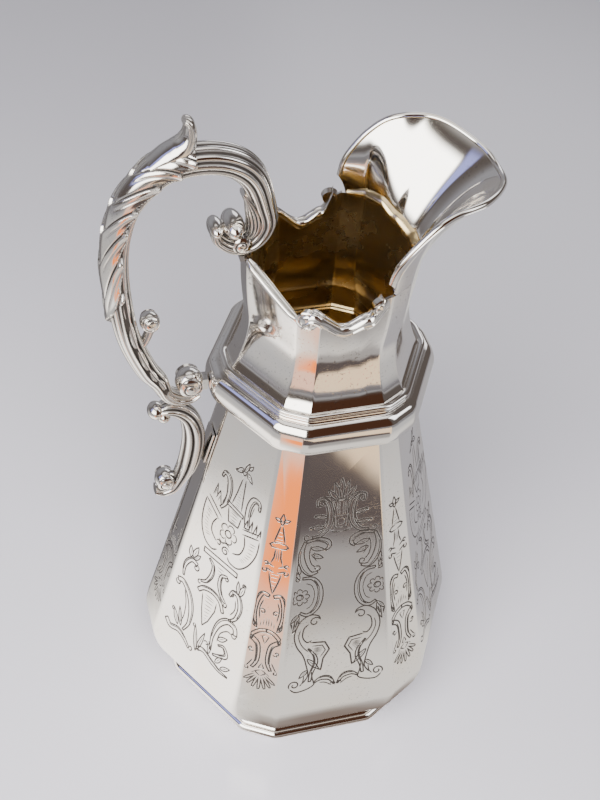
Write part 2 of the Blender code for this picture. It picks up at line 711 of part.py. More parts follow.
def make_lower_scroll():
    """The lower C-scroll, its top curl and end ball, and the pad that joins it to the body."""
    middle_z = END_CENTRE[1] - PAD_DROP
    face = -body_apothem(middle_z) * NARROW_RATIO
    low = middle_z - PAD_HEIGHT / 2
    high = middle_z + PAD_HEIGHT / 2
    mesh_data = bmesh.new()
    rings = []
    for z in (low, high):
        near = -body_apothem(z) * NARROW_RATIO - SEAM
        ring = []
        for x, y in ((near, -1), (near, 1), (near - PAD_THICKNESS, 1), (near - PAD_THICKNESS, -1)):
            ring.append(Vector((x, y * PAD_WIDTH / 2, z)))
        rings.append(ring)
    loops = join_rings(mesh_data, rings, close_length=False)
    mesh_data.faces.new(loops[0])
    mesh_data.faces.new(loops[-1])
    add_object("lower_pad", mesh_data)

    deepest = max(key[2] for key in LOWER_LINE)
    start = face - PAD_THICKNESS - 2 * SEAM - deepest - BODY_TAPER * 2.0 * MM
    keys = [(start - out, middle_z + rise, depth, width) for out, rise, depth, width in LOWER_LINE]
    scroll_bar("lower_scroll", smooth_line(keys, 3))
    curl = keys[0]
    ball("lower_scroll_curl", (curl[0] - CURL_RADIUS - SEAM - 0.2 * MM, curl[1] - 1.4 * MM),
         CURL_RADIUS, CURL_RADIUS * 1.2)
    ball("lower_scroll_ball", (start - LOWER_BALL_OUT, middle_z - LOWER_BALL_DROP),
         LOWER_BALL_RADIUS, LOWER_BALL_RADIUS * 1.15)


def centre_footprint(axis_empty):
    """Moves the vessel's axis so that the origin is under the middle of the whole pitcher."""
    lows = []
    highs = []
    for piece in axis_empty.children:
        xs = [vert.co.x for vert in piece.data.vertices]
        lows.append(min(xs))
        highs.append(max(xs))
    axis_empty.location.x = -(min(lows) + max(highs)) / 2


def main():
    """Clears the scene and builds every piece."""
    for old in list(bpy.data.objects):
        bpy.data.objects.remove(old)
    axis_empty = bpy.data.objects.new("vessel_axis", None)
    bpy.context.scene.collection.objects.link(axis_empty)
    make_foot()
    make_body()
    make_belt()
    make_neck()
    make_rim()
    make_spout()
    make_main_scroll()
    make_leaf()
    make_lower_scroll()
    centre_footprint(axis_empty)


main()
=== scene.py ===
"""Silver water pitcher: the finished pieces, their metals, and the table they stand on.

Sizes are in millimetres from the vessel's axis unless a name says otherwise. Azimuths are in degrees
from the spout, counter-clockwise from above, and the handle is at 180.
"""

from math import atan2, ceil, cos, degrees, hypot, pi, radians, sin, sqrt

import bmesh
import bpy
from bpy.props import FloatProperty, FloatVectorProperty, PointerProperty
from mathutils import Matrix, Vector
from mathutils.geometry import delaunay_2d_cdt
from mathutils.kdtree import KDTree


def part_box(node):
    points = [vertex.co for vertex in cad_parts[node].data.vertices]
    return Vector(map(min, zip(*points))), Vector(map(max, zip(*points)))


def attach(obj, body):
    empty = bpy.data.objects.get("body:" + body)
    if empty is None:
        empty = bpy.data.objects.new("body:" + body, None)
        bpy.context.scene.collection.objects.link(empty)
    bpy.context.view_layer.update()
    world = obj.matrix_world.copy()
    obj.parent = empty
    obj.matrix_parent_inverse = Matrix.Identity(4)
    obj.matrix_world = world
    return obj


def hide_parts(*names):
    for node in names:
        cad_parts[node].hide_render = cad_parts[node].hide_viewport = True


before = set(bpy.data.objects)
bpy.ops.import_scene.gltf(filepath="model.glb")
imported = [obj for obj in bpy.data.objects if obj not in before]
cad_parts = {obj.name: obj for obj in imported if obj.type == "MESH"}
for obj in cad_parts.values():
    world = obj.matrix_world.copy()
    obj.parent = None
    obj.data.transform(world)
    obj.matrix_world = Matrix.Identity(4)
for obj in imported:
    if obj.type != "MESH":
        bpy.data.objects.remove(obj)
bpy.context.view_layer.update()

bl_info = {
    "name": "Silver Pitcher",
    "version": (1, 0, 0),
    "blender": (4, 5, 0),
    "location": "View3D > Sidebar > Pitcher",
    "description": "Builds the finished pieces of a twelve-sided silver pitcher",
    "category": "Object",
}

MM = 0.001
BODY_LOW, BODY_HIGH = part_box("body_shell")
AXIS_X = (BODY_LOW[0] + BODY_HIGH[0]) / 2

# --- Sizes shared by the pieces -------------------------------------------------------------------
NARROW_RATIO = 1.07
HALF_NARROW = 2 - sqrt(3) * NARROW_RATIO
CORNER = degrees(atan2(HALF_NARROW, NARROW_RATIO))
SEAM = 0.3
WALL = 1.0
SOFT_CORNER = 1.1
BODY_FOOT, BODY_WIDE, BODY_WIDE_Z = 42.0, 56.4, 33.7
BODY_TOP, BODY_TOP_Z, BODY_END_Z = 31.0, 149.6, 157.0
PANEL_LOW_Z = 38.0
TAPER = (BODY_WIDE - BODY_TOP) / (BODY_TOP_Z - BODY_WIDE_Z)
BELT_LOW_Z, BELT_HIGH_Z, BELT_IN = 149.9, 165.9, 31.3
NECK_FOOT, NECK_WAIST, NECK_RIM, NECK_RISE, WAIST_RISE = 30.6, 25.6, 27.4, 46.4, 20.5
RIM_Z = BELT_HIGH_Z + NECK_RISE
RIM_LINE = ((0, -4.9), (7, -4.0), (23, -1.2), (39, 1.4), (72, 0.0), (82, -8.8), (97, -12.1),
            (117, -5.5), (127, -9.9), (172, 0.0), (180, 0.0))
SPOUT_RIM = ((0, 22.7, 0.0, 20.9), (12, 20.9, 5.0, 23.1), (28, 14.6, 9.9, 26.1), (44, 5.8, 7.4, 25.3),
             (56, 1.2, 4.2, 19.6), (66, -1.2, 1.7, 10.5), (71, -0.5, 0.6, 3.6))
VOLUTE = (-NECK_RIM * NARROW_RATIO - 3.2, 223.0)
END_VOLUTE = (-36.9 * NARROW_RATIO - 6.8, 157.9)


# --- Settings -------------------------------------------------------------------------------------
class PitcherFinish(bpy.types.PropertyGroup):
    """Colours and wear of the metals."""
    silver: FloatVectorProperty(name="Silver", description="Colour of the polished silver",
                                subtype="COLOR", size=4, default=(0.93, 0.905, 0.875, 1.0))
    gilt: FloatVectorProperty(name="Gilding", description="Colour of the gilded inside",
                              subtype="COLOR", size=4, default=(0.84, 0.68, 0.40, 1.0))
    oxide: FloatVectorProperty(name="Oxide", description="Colour of the dark film left in the recesses",
                               subtype="COLOR", size=4, default=(0.055, 0.047, 0.042, 1.0))
    polish: FloatProperty(name="Polish", description="Roughness of the polished silver",
                          subtype="FACTOR", default=0.07, min=0.0, max=1.0)


class PitcherSizes(bpy.types.PropertyGroup):
    """Sizes that a maker would change."""
    line_width: FloatProperty(name="Line width", description="Half the width of an engraved line",
                              subtype="DISTANCE", unit="LENGTH", default=0.00035)
    line_depth: FloatProperty(name="Line depth", description="Depth of an engraved line",
                              subtype="DISTANCE", unit="LENGTH", default=0.00014)
    reed_depth: FloatProperty(name="Reed depth", description="Depth of the flutes along the handle",
                              subtype="DISTANCE", unit="LENGTH", default=0.00075)
    corner_radius: FloatProperty(name="Corner radius", description="Rounding of the body's corners",
                                 subtype="DISTANCE", unit="LENGTH", default=0.0011)


class PitcherStage(bpy.types.PropertyGroup):
    """Table, light and camera."""
    table: FloatVectorProperty(name="Table", description="Colour of the table", subtype="COLOR",
                               size=4, default=(0.71, 0.69, 0.745, 1.0))
    key_power: FloatProperty(name="Window light", description="Power of the large soft light",
                             unit="POWER", default=17.0)
    lens: FloatProperty(name="Lens", description="Focal length in millimetres", default=61.09)


# --- Materials ------------------------------------------------------------------------------------
class Wire:
    """A socket whose arithmetic adds Math nodes."""

    def __init__(self, graph, socket):
        self.graph = graph
        self.socket = socket

    def math(self, operation, *values):
        return self.graph.node("ShaderNodeMath", {"operation": operation}, dict(enumerate(values)))

    def __add__(self, other):
        return self.math("ADD", self, other)

    def __sub__(self, other):
        return self.math("SUBTRACT", self, other)

    def __rsub__(self, other):
        return self.math("SUBTRACT", other, self)

    def __mul__(self, other):
        return self.math("MULTIPLY", self, other)

    def held(self, low=0.0, high=1.0):
        """The value kept between two limits."""
        return self.math("MINIMUM", self.math("MAXIMUM", self, low), high)

    def step(self, low, high):
        """0 below low, 1 above high, eased between."""
        return self.graph.node("ShaderNodeMapRange", {"interpolation_type": "SMOOTHSTEP"},
                               {"Value": self, "From Min": low, "From Max": high})

    __radd__ = __add__
    __rmul__ = __mul__


class Graph:
    """The node tree of a new material."""

    def __init__(self, name):
        self.material = bpy.data.materials.new(name)
        self.material.use_nodes = True
        self.tree = self.material.node_tree
        self.tree.nodes.clear()
        self.output = self.tree.nodes.new("ShaderNodeOutputMaterial")

    def node(self, kind, settings=None, values=None, out=0):
        """Adds a node: settings first, then values or links by socket name or place."""
        node = self.tree.nodes.new(kind)
        for key, value in (settings or {}).items():
            setattr(node, key, value)
        for key, value in (values or {}).items():
            socket = node.inputs[key]
            if isinstance(value, Wire):
                self.tree.links.new(value.socket, socket)
            else:
                socket.default_value = value
        return Wire(self, node.outputs[out])

    def place(self):
        """Object coordinates in metres."""
        return self.node("ShaderNodeTexCoord", out=3)

    def noise(self, vector, scale, detail=2.0, roughness=0.5):
        return self.node("ShaderNodeTexNoise", values={
            "Vector": vector, "Scale": scale, "Detail": detail, "Roughness": roughness})

    def mix(self, factor, first, second):
        """Two colours mixed."""
        return self.node("ShaderNodeMix", {"data_type": "RGBA"}, {0: factor, 6: first, 7: second}, 2)

    def bump(self, height, strength, distance):
        return self.node("ShaderNodeBump", values={
            "Strength": strength, "Distance": distance, "Height": height})

    def finish(self, shader):
        self.tree.links.new(shader.socket, self.output.inputs[0])
        return self.material


def silver(name, roughness, oxide_share=1.0, waviness=0.35, tone=1.0, oxide_full=0.85):
    """Polished silver with faint hand-worked waves, fine pits and scratches, and oxide in recesses."""
    finish = bpy.context.scene.pitcher_finish
    graph = Graph(name)
    place = graph.place()
    recess = graph.node("ShaderNodeAttribute", {"attribute_name": "recess"}, out=2)
    cloud = graph.noise(place, 55.0, 3.0)
    pits = graph.noise(place, 1150.0, 2.0).step(0.60, 0.74)
    patches = graph.noise(place, 28.0, 2.0).step(0.48, 0.66)
    scratch_place = graph.node("ShaderNodeMapping", values={
        "Vector": place, "Rotation": (0.5, 0.3, 0.0), "Scale": (150.0, 150.0, 3800.0)})
    scratches = graph.noise(scratch_place, 1.0, 1.0).step(0.62, 0.74) * patches
    dark = (recess.step(0.0, oxide_full) * oxide_share).held()
    bright = tuple(channel * tone for channel in finish.silver[:3]) + (1.0,)
    warm = (bright[0], bright[1] * 0.972, bright[2] * 0.925, 1.0)
    colour = graph.mix(cloud.step(0.35, 0.75), bright, warm)
    colour = graph.mix(pits * patches * 0.5, colour, tuple(finish.oxide))
    colour = graph.mix(dark, colour, tuple(finish.oxide))
    height = graph.noise(place, 70.0, 1.0) * waviness - scratches * 0.02 - pits * patches * 0.05
    shader = graph.node("ShaderNodeBsdfPrincipled", values={
        "Base Color": colour,
        "Metallic": 1.0 - dark * 0.35,
        "Roughness": (roughness + (cloud - 0.5) * 0.05 + pits * patches * 0.15
                      + dark * 0.4).held(0.02, 0.9),
        "Normal": graph.bump(height, 0.14, 0.0008)})
    return graph.finish(shader)


def gilding(name):
    """Thin gilding, rubbed and stained in places."""
    finish = bpy.context.scene.pitcher_finish
    graph = Graph(name)
    place = graph.place()
    stain = graph.noise(place, 60.0, 5.0, 0.6).step(0.28, 0.80)
    recess = graph.node("ShaderNodeAttribute", {"attribute_name": "recess"}, out=2)
    gold = tuple(finish.gilt)
    brown = (gold[0] * 0.70, gold[1] * 0.64, gold[2] * 0.52, 1.0)
    colour = graph.mix(stain, gold, brown)
    colour = graph.mix(recess.step(0.1, 0.9), colour, (0.08, 0.05, 0.02, 1.0))
    shader = graph.node("ShaderNodeBsdfPrincipled", values={
        "Base Color": colour,
        "Metallic": 1.0,
        "Roughness": 0.17 + stain * 0.20,
        "Normal": graph.bump(graph.noise(place, 90.0, 3.0), 0.2, 0.001)})
    return graph.finish(shader)


METALS = {}


def metal(name):
    """Each metal is made once."""
    if name not in METALS:
        polish = bpy.context.scene.pitcher_finish.polish
        makers = {
            "polished_silver": lambda: silver("polished_silver", polish, 1.0, 0.3, 1.0, 0.3),
            "cast_silver": lambda: silver("cast_silver", polish + 0.05, 1.0, 0.2, 0.88, 0.6),
            "turned_silver": lambda: silver("turned_silver", polish, 0.9, 0.12),
            "gilding": lambda: gilding("gilding"),
        }
        METALS[name] = makers[name]()
    return METALS[name]


# --- Mesh helpers ---------------------------------------------------------------------------------
def spot(x, y, z):
    """A world place from millimetres about the vessel's axis."""
    return Vector((AXIS_X + x * MM, y * MM, z * MM))


def deselect():
    if bpy.context.object and bpy.context.object.mode != "OBJECT":
        bpy.ops.object.mode_set(mode="OBJECT")
    bpy.ops.object.select_all(action="DESELECT")


def activate(piece):
    deselect()
    piece.select_set(True)
    bpy.context.view_layer.objects.active = piece


def apply_modifier(piece, kind, **settings):
    """Adds a modifier, sets it and applies it."""
    activate(piece)
    modifier = piece.modifiers.new(kind.title(), kind)
    for key, value in settings.items():
        setattr(modifier, key, value)
    bpy.ops.object.modifier_apply(modifier=modifier.name)


def face_out(piece):
    """Merges doubles, then points every face outwards."""
    mesh_data = bmesh.new()
    mesh_data.from_mesh(piece.data)
    bmesh.ops.remove_doubles(mesh_data, verts=mesh_data.verts, dist=1e-6)
    bmesh.ops.recalc_face_normals(mesh_data, faces=mesh_data.faces)
    if mesh_data.calc_volume(signed=True) < 0:
        bmesh.ops.reverse_faces(mesh_data, faces=mesh_data.faces)
    mesh_data.to_mesh(piece.data)
    mesh_data.free()


def finish_piece(piece, metals, nodes, smooth, long_edge=None):
    """Smooth shading, metals, and the piece's place in the frame; edges over long_edge stay crisp."""
    activate(piece)
    bpy.ops.object.transform_apply(location=True, rotation=True, scale=True)
    bpy.ops.object.shade_smooth_by_angle(angle=radians(smooth))
    if long_edge:
        verts = piece.data.vertices
        for edge in piece.data.edges:
            start, end = (verts[i].co for i in edge.vertices)
            if abs(start.z - end.z) > long_edge:
                edge.use_edge_sharp = True
    apply_modifier(piece, "WEIGHTED_NORMAL", keep_sharp=True, mode="FACE_AREA", weight=80)
    piece.data.materials.clear()
    for name in metals:
        piece.data.materials.append(metal(name))
    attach(piece, "root")
    if nodes:
        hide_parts(*nodes)
    return piece


def finish_turned(piece, node, smooth):
    """Smooth silver for a moulding that stands for a node."""
    finish_piece(piece, ["turned_silver"], [node], smooth)


def finish_cast(piece, node, smooth=50):
    """Cast silver for a piece of the handle that stands for a node."""
    finish_piece(piece, ["cast_silver"], [node], smooth)


def new_piece(name, verts, faces, recess=None):
    """A piece from points in metres, with an optional recess value for each."""
    mesh = bpy.data.meshes.new(name)
    mesh.from_pydata([tuple(v) for v in verts], [], faces)
    mesh.update()
    if recess is not None:
        layer = mesh.attributes.new("recess", "FLOAT", "POINT")
        layer.data.foreach_set("value", recess)
    piece = bpy.data.objects.new(name, mesh)
    bpy.context.scene.collection.objects.link(piece)
    return piece


def loft(name, rings, recess=None, closed=False):
    """Quads through equally long rings of points; the ends are closed with a fan each."""
    count = len(rings[0])
    verts = [p for ring in rings for p in ring]
    values = [v for ring in recess for v in ring] if recess else None
    faces = []
    last = len(rings) if closed else len(rings) - 1
    for i in range(last):
        a, b = i * count, (i + 1) % len(rings) * count
        for j in range(count):
            k = (j + 1) % count
            faces.append((a + j, a + k, b + k, b + j))
    if not closed:
        for ring, start in ((rings[0], 0), (rings[-1], (len(rings) - 1) * count)):
            middle = sum(ring, Vector()) / count
            verts.append(middle)
            if values is not None:
                values.append(0.0)
            for j in range(count):
                faces.append((start + j, start + (j + 1) % count, len(verts) - 1))
    piece = new_piece(name, verts, faces, values)
    face_out(piece)
    return piece


def smooth_line(keys, steps):
    """A Catmull-Rom line through equally long tuples, with that many steps between keys."""
    padded = [keys[0]] + list(keys) + [keys[-1]]
    line = []
    for index in range(1, len(padded) - 2):
        before, start, end, after = padded[index - 1:index + 3]
        for step in range(steps):
            t = step / steps
            line.append(tuple(
                b + 0.5 * t * (c - a + t * (2 * a - 5 * b + 4 * c - d + t * (3 * (b - c) + d - a)))
                for a, b, c, d in zip(before, start, end, after)))
    line.append(tuple(keys[-1]))
    return line


def ease(t):
    t = min(max(t, 0.0), 1.0)
    return t * t * (3 - 2 * t)


# --- The twelve-sided plan ------------------------------------------------------------------------
def twelve_sided(name, sections, rounding=0.9, steps=3):
    """A hexagon with its corners cut and rounded, drawn up through (apothem, height) sections."""
    deselect()
    apothem, height = sections[0]
    bpy.ops.mesh.primitive_circle_add(
        vertices=6, radius=apothem * 2 / sqrt(3) * MM, fill_type="NGON",
        location=spot(0, 0, height), rotation=(0, 0, radians(30)))
    piece = bpy.context.object
    piece.name = name
    bpy.ops.object.transform_apply(location=True, rotation=True, scale=True)
    bpy.ops.object.mode_set(mode="EDIT")
    bpy.ops.mesh.select_all(action="SELECT")
    cut = (2 / sqrt(3) - NARROW_RATIO) * 2 * apothem * MM
    bpy.ops.mesh.bevel(offset=cut, offset_type="OFFSET", affect="VERTICES", segments=1)
    bpy.ops.mesh.select_all(action="SELECT")
    bpy.ops.mesh.bevel(offset=rounding * MM, offset_type="OFFSET", affect="VERTICES", segments=steps)
    bpy.ops.mesh.select_all(action="SELECT")
    bpy.ops.mesh.delete(type="ONLY_FACE")
    bpy.ops.mesh.select_all(action="SELECT")
    for (old, low), (new, high) in zip(sections, sections[1:]):
        bpy.ops.mesh.extrude_edges_move(TRANSFORM_OT_translate={"value": (0, 0, (high - low) * MM)})
        size = new / old
        bpy.ops.transform.resize(value=(size, size, 1), center_override=spot(0, 0, high))
    bpy.ops.mesh.select_all(action="SELECT")
    bpy.ops.mesh.remove_doubles(threshold=1e-6)
    bpy.ops.object.mode_set(mode="OBJECT")
    face_out(piece)
    return piece


def plan_radius(azimuth, apothem):
    """Distance from the axis to the twelve-sided outline."""
    reach = []
    for face in range(12):
        turn = cos(radians(azimuth - 30 * face))
        if turn > 0.5:
            reach.append(apothem * (NARROW_RATIO if face % 2 == 0 else 1.0) / turn)
    return min(reach)


def on_plan(azimuth, apothem, z):
    radius = plan_radius(azimuth, apothem)
    return Vector((radius * cos(radians(azimuth)), radius * sin(radians(azimuth)), z))


def soft_radius(azimuth, apothem):
    """The outline with its corners eased over a few degrees."""
    total = 0.0
    for share in (-1.0, -0.5, 0.0, 0.5, 1.0):
        total += plan_radius(azimuth + share * SOFT_CORNER, apothem) * (1.5 - abs(share)) / 4.5
    return total


def rim_height(azimuth):
    """Top of the rim above the belt side, straight beside the handle and eased elsewhere."""
    where = abs((azimuth + 180) % 360 - 180)
    for (start, low), (end, high) in zip(RIM_LINE, RIM_LINE[1:]):
        if where <= end:
            t = (where - start) / (end - start)
            return RIM_Z + low + (high - low) * (t if start >= 127 else ease(t))
    return RIM_Z


def neck_apothem(z):
    """The concave neck: a flared foot, a waist, then a slight flare to the rim."""
    rise = z - BELT_HIGH_Z
    if rise <= 0:
        return NECK_FOOT
    if rise <= WAIST_RISE:
        return NECK_WAIST + (NECK_FOOT - NECK_WAIST) * (1 - rise / WAIST_RISE) ** 2
    t = (rise - WAIST_RISE) / (NECK_RISE - WAIST_RISE)
    return NECK_WAIST + (NECK_RIM - NECK_WAIST) * (1 - (1 - min(t, 1)) ** 2)


def face_half(apothem, wide):
    """Half the width of a face between its corners."""
    reach = hypot(NARROW_RATIO, HALF_NARROW) * apothem
    if wide:
        return reach * sin(radians(30 - CORNER))
    return reach * sin(radians(CORNER))


# --- Engraving ------------------------------------------------------------------------------------
# A stroke is (points, share of the full line width). Points are across and up the panel in
# millimetres. Half a mirror-symmetric pattern is drawn for positive values across.
HATCH, LEAF_EDGE = 0.55, 0.9

def offset_line(points, offsets):
    """The line moved sideways by the offset at each point, to its left when positive."""
    moved = []
    for i, (x, y) in enumerate(points):
        before = points[max(i - 1, 0)]
        after = points[min(i + 1, len(points) - 1)]
        dx, dy = after[0] - before[0], after[1] - before[1]
        size = hypot(dx, dy) or 1.0
        moved.append((x - dy / size * offsets[i], y + dx / size * offsets[i]))
    return moved


def curve(keys, width=1.0):
    return [([p[:2] for p in smooth_line([tuple(k) for k in keys], 6)], width)]


def ribbon(keys, start, middle, end, vein=True):
    """Two outlines round a smooth line that swells in the middle, and a vein along it."""
    line = [p[:2] for p in smooth_line([tuple(k) for k in keys], 6)]
    last = len(line) - 1
    half = []
    for i in range(len(line)):
        t = i / last
        half.append(start + (middle - start) * ease(t * 2) if t < 0.5
                    else middle + (end - middle) * ease(t * 2 - 1))
    left = offset_line(line, half)
    right = offset_line(line, [-h for h in half])
    strokes = [(left + right[::-1] + left[:1], 1.0)]
    if vein:
        inner = offset_line(line, [h * 0.35 for h in half])
        strokes.append((inner[last // 6:last - last // 6], 0.75))
    return strokes


def swirl(x, y, radius, start, turns, width=1.0):
    """A spiral from the rim of a curl to its eye; negative turns run clockwise."""
    count = max(int(abs(turns) * 14), 6)
    points = []
    for i in range(count + 1):
        t = i / count
        angle = radians(start) + 2 * pi * turns * t
        r = radius * (1 - 0.82 * t)
        points.append((x + r * cos(angle), y + r * sin(angle)))
    return [(points, width)]


def petal(base, tip, half, vein=True):
    """A pointed leaf from base to tip, with a vein."""
    dx, dy = tip[0] - base[0], tip[1] - base[1]
    size = hypot(dx, dy) or 1.0
    nx, ny = -dy / size * half, dx / size * half
    one, two = [], []
    for i in range(9):
        t = i / 8
        swell = sin(pi * t ** 0.8)
        one.append((base[0] + dx * t + nx * swell, base[1] + dy * t + ny * swell))
        two.append((base[0] + dx * t - nx * swell, base[1] + dy * t - ny * swell))
    strokes = [(one + two[::-1][1:], LEAF_EDGE)]
    if vein:
        strokes.append(([(base[0] + dx * t, base[1] + dy * t) for t in (0.1, 0.4, 0.75)], 0.6))
    return strokes


def fan(x, y, radius, start, end, count, half, inner=0.25):
    """Rounded petals spread round a point between two angles."""
    strokes = []
    for i in range(count):
        angle = radians(start + (end - start) * i / max(count - 1, 1))
        c, s = cos(angle), sin(angle)
        reach = radius * (1 - 0.12 * abs(2 * i / max(count - 1, 1) - 1))
        points = []
        for j in range(11):
            t = j / 10
            along = reach * (inner + (1 - inner) * sin(pi * t) ** 0.6)
            side = half * (1 - 2 * t) * (0.45 + 0.55 * sin(pi * t))
            points.append((x + c * along - s * side, y + s * along + c * side))
        strokes.append((points, 0.9))
    return strokes


def flower(x, y, radius, count):
    """Round petals about a small eye."""
    strokes = []
    for i in range(count):
        middle = 2 * pi * i / count
        points = []
        for j in range(9):
            t = j / 8 * 2 - 1
            r = radius * (0.52 + 0.48 * (1 - t * t) ** 0.5)
            angle = middle + t * pi / count
            points.append((x + r * cos(angle), y + r * sin(angle)))
        strokes.append((points, 0.9))
    eye = []
    for j in range(11):
        angle = 2 * pi * j / 10
        eye.append((x + radius * 0.36 * cos(angle), y + radius * 0.36 * sin(angle)))
    return strokes + [(eye, 1.0)]


def hatch(left, right, count):
    """Parallel cuts between two lines."""
    one = smooth_line([tuple(p) for p in left], 4)
    two = smooth_line([tuple(p) for p in right], 4)
    strokes = []
    for i in range(count):
        t = (i + 0.5) / count
        a = one[round(t * (len(one) - 1))]
        b = two[round(t * (len(two) - 1))]
        strokes.append(([(a[0] * 0.9 + b[0] * 0.1, a[1] * 0.9 + b[1] * 0.1),
                         (a[0] * 0.1 + b[0] * 0.9, a[1] * 0.1 + b[1] * 0.9)], HATCH))
    return strokes


def mirrored(strokes):
    return strokes + [([(-x, y) for x, y in points], width) for points, width in strokes]


def cartouche():
    """The framed shield of the front and back panels, left blank in the middle."""
    half = []
    half += petal((0.7, 128.2), (2.6, 135.6), 0.85, False)
    half += petal((1.4, 128.0), (4.9, 132.9), 0.8, False)
    half += petal((2.2, 127.6), (6.3, 130.2), 0.7, False)
    half += [([(0, 127.6), (2.9, 127.6)], 1.0), ([(0, 121.4), (2.6, 121.4)], 1.0),
             ([(2.9, 127.6), (2.2, 124.5), (2.6, 121.4), (2.2, 116.4), (0, 116.4)], 1.0),
             ([(0, 120.2), (1.4, 120.2), (1.4, 117.6), (0, 117.6)], 0.9),
             ([(0.7, 127.2), (0.6, 121.9)], 0.6), ([(1.5, 127.2), (1.3, 121.9)], 0.6),
             ([(0, 114.6), (2.9, 114.9), (3.9, 116.0)], 1.0)]
    half += ribbon([(8.3, 126.4), (8.2, 128.9), (6.0, 129.0), (4.3, 126.2), (3.7, 121.5), (4.6, 117.2),
                    (7.2, 114.3), (10.2, 113.6)], 0.35, 1.0, 0.6)
    half += curve([(5.6, 126.8), (5.0, 123.0), (5.6, 118.8), (8.0, 115.9)], 0.8)
    half += swirl(7.2, 127.2, 1.3, 60, 1.1)
    half += petal((5.0, 121.3), (9.4, 122.7), 0.8) + swirl(9.0, 122.3, 1.0, 200, -0.9, 0.9)
    half += petal((5.9, 117.4), (10.9, 117.9), 0.9) + swirl(10.6, 117.4, 1.1, 190, -0.9, 0.9)
    half += swirl(12.1, 114.3, 1.5, 210, 1.1)
    half += ribbon([(12.2, 112.2), (8.4, 112.9), (4.8, 111.4), (4.0, 109.1), (5.4, 107.6)], 0.5, 0.9, 0.4)
    half += ribbon([(12.6, 112.4), (14.0, 107.5), (13.4, 102.2), (10.9, 98.3), (8.0, 98.6)], 0.5, 1.3, 0.5)
    half += curve([(10.4, 110.7), (11.2, 106.6), (10.4, 102.6), (8.6, 100.6)], 0.9)
    half += petal((10.3, 106.4), (6.0, 104.3), 0.9) + petal((10.6, 109.4), (5.5, 107.9), 0.9)
    half += swirl(8.4, 100.3, 1.6, 300, -1.2) + curve([(8.1, 103.2), (9.3, 104.8), (9.4, 108.0)], 0.8)
    half += ribbon([(13.4, 96.5), (9.6, 95.8), (7.1, 91.8), (6.9, 86.2), (8.6, 81.6), (11.6, 79.6),
                    (14.2, 81.0)], 0.5, 0.95, 0.5)
    half += curve([(12.4, 94.2), (10.0, 92.6), (9.0, 88.4), (10.2, 83.8), (12.4, 82.4)], 0.8)
    half += flower(14.4, 88.2, 3.6, 8) + swirl(14.4, 88.2, 1.2, 0, 1.0, 0.7)
    for low, high, out in ((96.5, 101.5, 16.2), (95.5, 99.0, 18.0), (98.5, 103.5, 15.0), (79.5, 74.5, 16.6),
                           (80.5, 76.5, 18.2), (77.8, 72.0, 17.0)):
        half += petal((14.6, low), (out, high), 0.65)
    half += swirl(8.6, 75.8, 2.3, 170, -1.15) + curve([(6.3, 76.2), (7.4, 78.4), (10.6, 79.2), (14.2, 76.6),
                                                      (16.2, 70.9), (15.4, 65.4), (12.9, 60.4), (11.6, 55.2),
                                                      (11.0, 50.3), (13.1, 46.6)])
    half += curve([(10.6, 75.2), (12.6, 73.4), (13.1, 69.4), (11.4, 66.6), (9.3, 67.4)])
    half += curve([(13.9, 73.0), (14.6, 69.4), (13.3, 65.2), (10.8, 61.8)], 0.8)
    half += [([(10.6, 66.3), (4.6, 65.4), (2.9, 61.6), (5.2, 57.6), (6.0, 52.2), (8.2, 53.4)], 1.15),
             ([(9.8, 64.4), (5.6, 64.0), (4.4, 61.5), (6.5, 58.2)], 0.8)]
    half += hatch([(5.6, 63.4), (5.0, 61.4), (6.8, 59.0)], [(9.3, 63.6), (9.8, 62.2), (9.6, 60.6)], 7)
    half += ribbon([(10.9, 63.4), (8.6, 59.9), (8.0, 56.0), (9.6, 51.4), (10.3, 47.2)], 0.25, 0.75, 0.5)
    half += petal((11.3, 58.4), (6.6, 52.4), 0.9) + petal((11.2, 53.0), (14.4, 49.6), 0.8)
    half += curve([(9.6, 52.2), (9.2, 48.4), (8.6, 45.4), (11.4, 43.6), (15.6, 43.0), (17.9, 45.0)])
    half += swirl(16.2, 46.6, 2.3, -40, 1.35) + curve([(12.4, 50.6), (13.0, 47.2), (14.4, 45.6)], 0.9)
    half += ribbon([(0.6, 43.9), (2.6, 47.2), (5.8, 47.9), (8.6, 46.2)], 0.35, 0.95, 0.3)
    half += curve([(1.6, 43.4), (4.2, 45.4), (6.8, 45.9)], 0.8) + swirl(1.6, 44.2, 1.1, 220, -0.9, 0.9)
    strokes = mirrored(half)
    return strokes + petal((0, 128.2), (0, 137.0), 0.9, False)


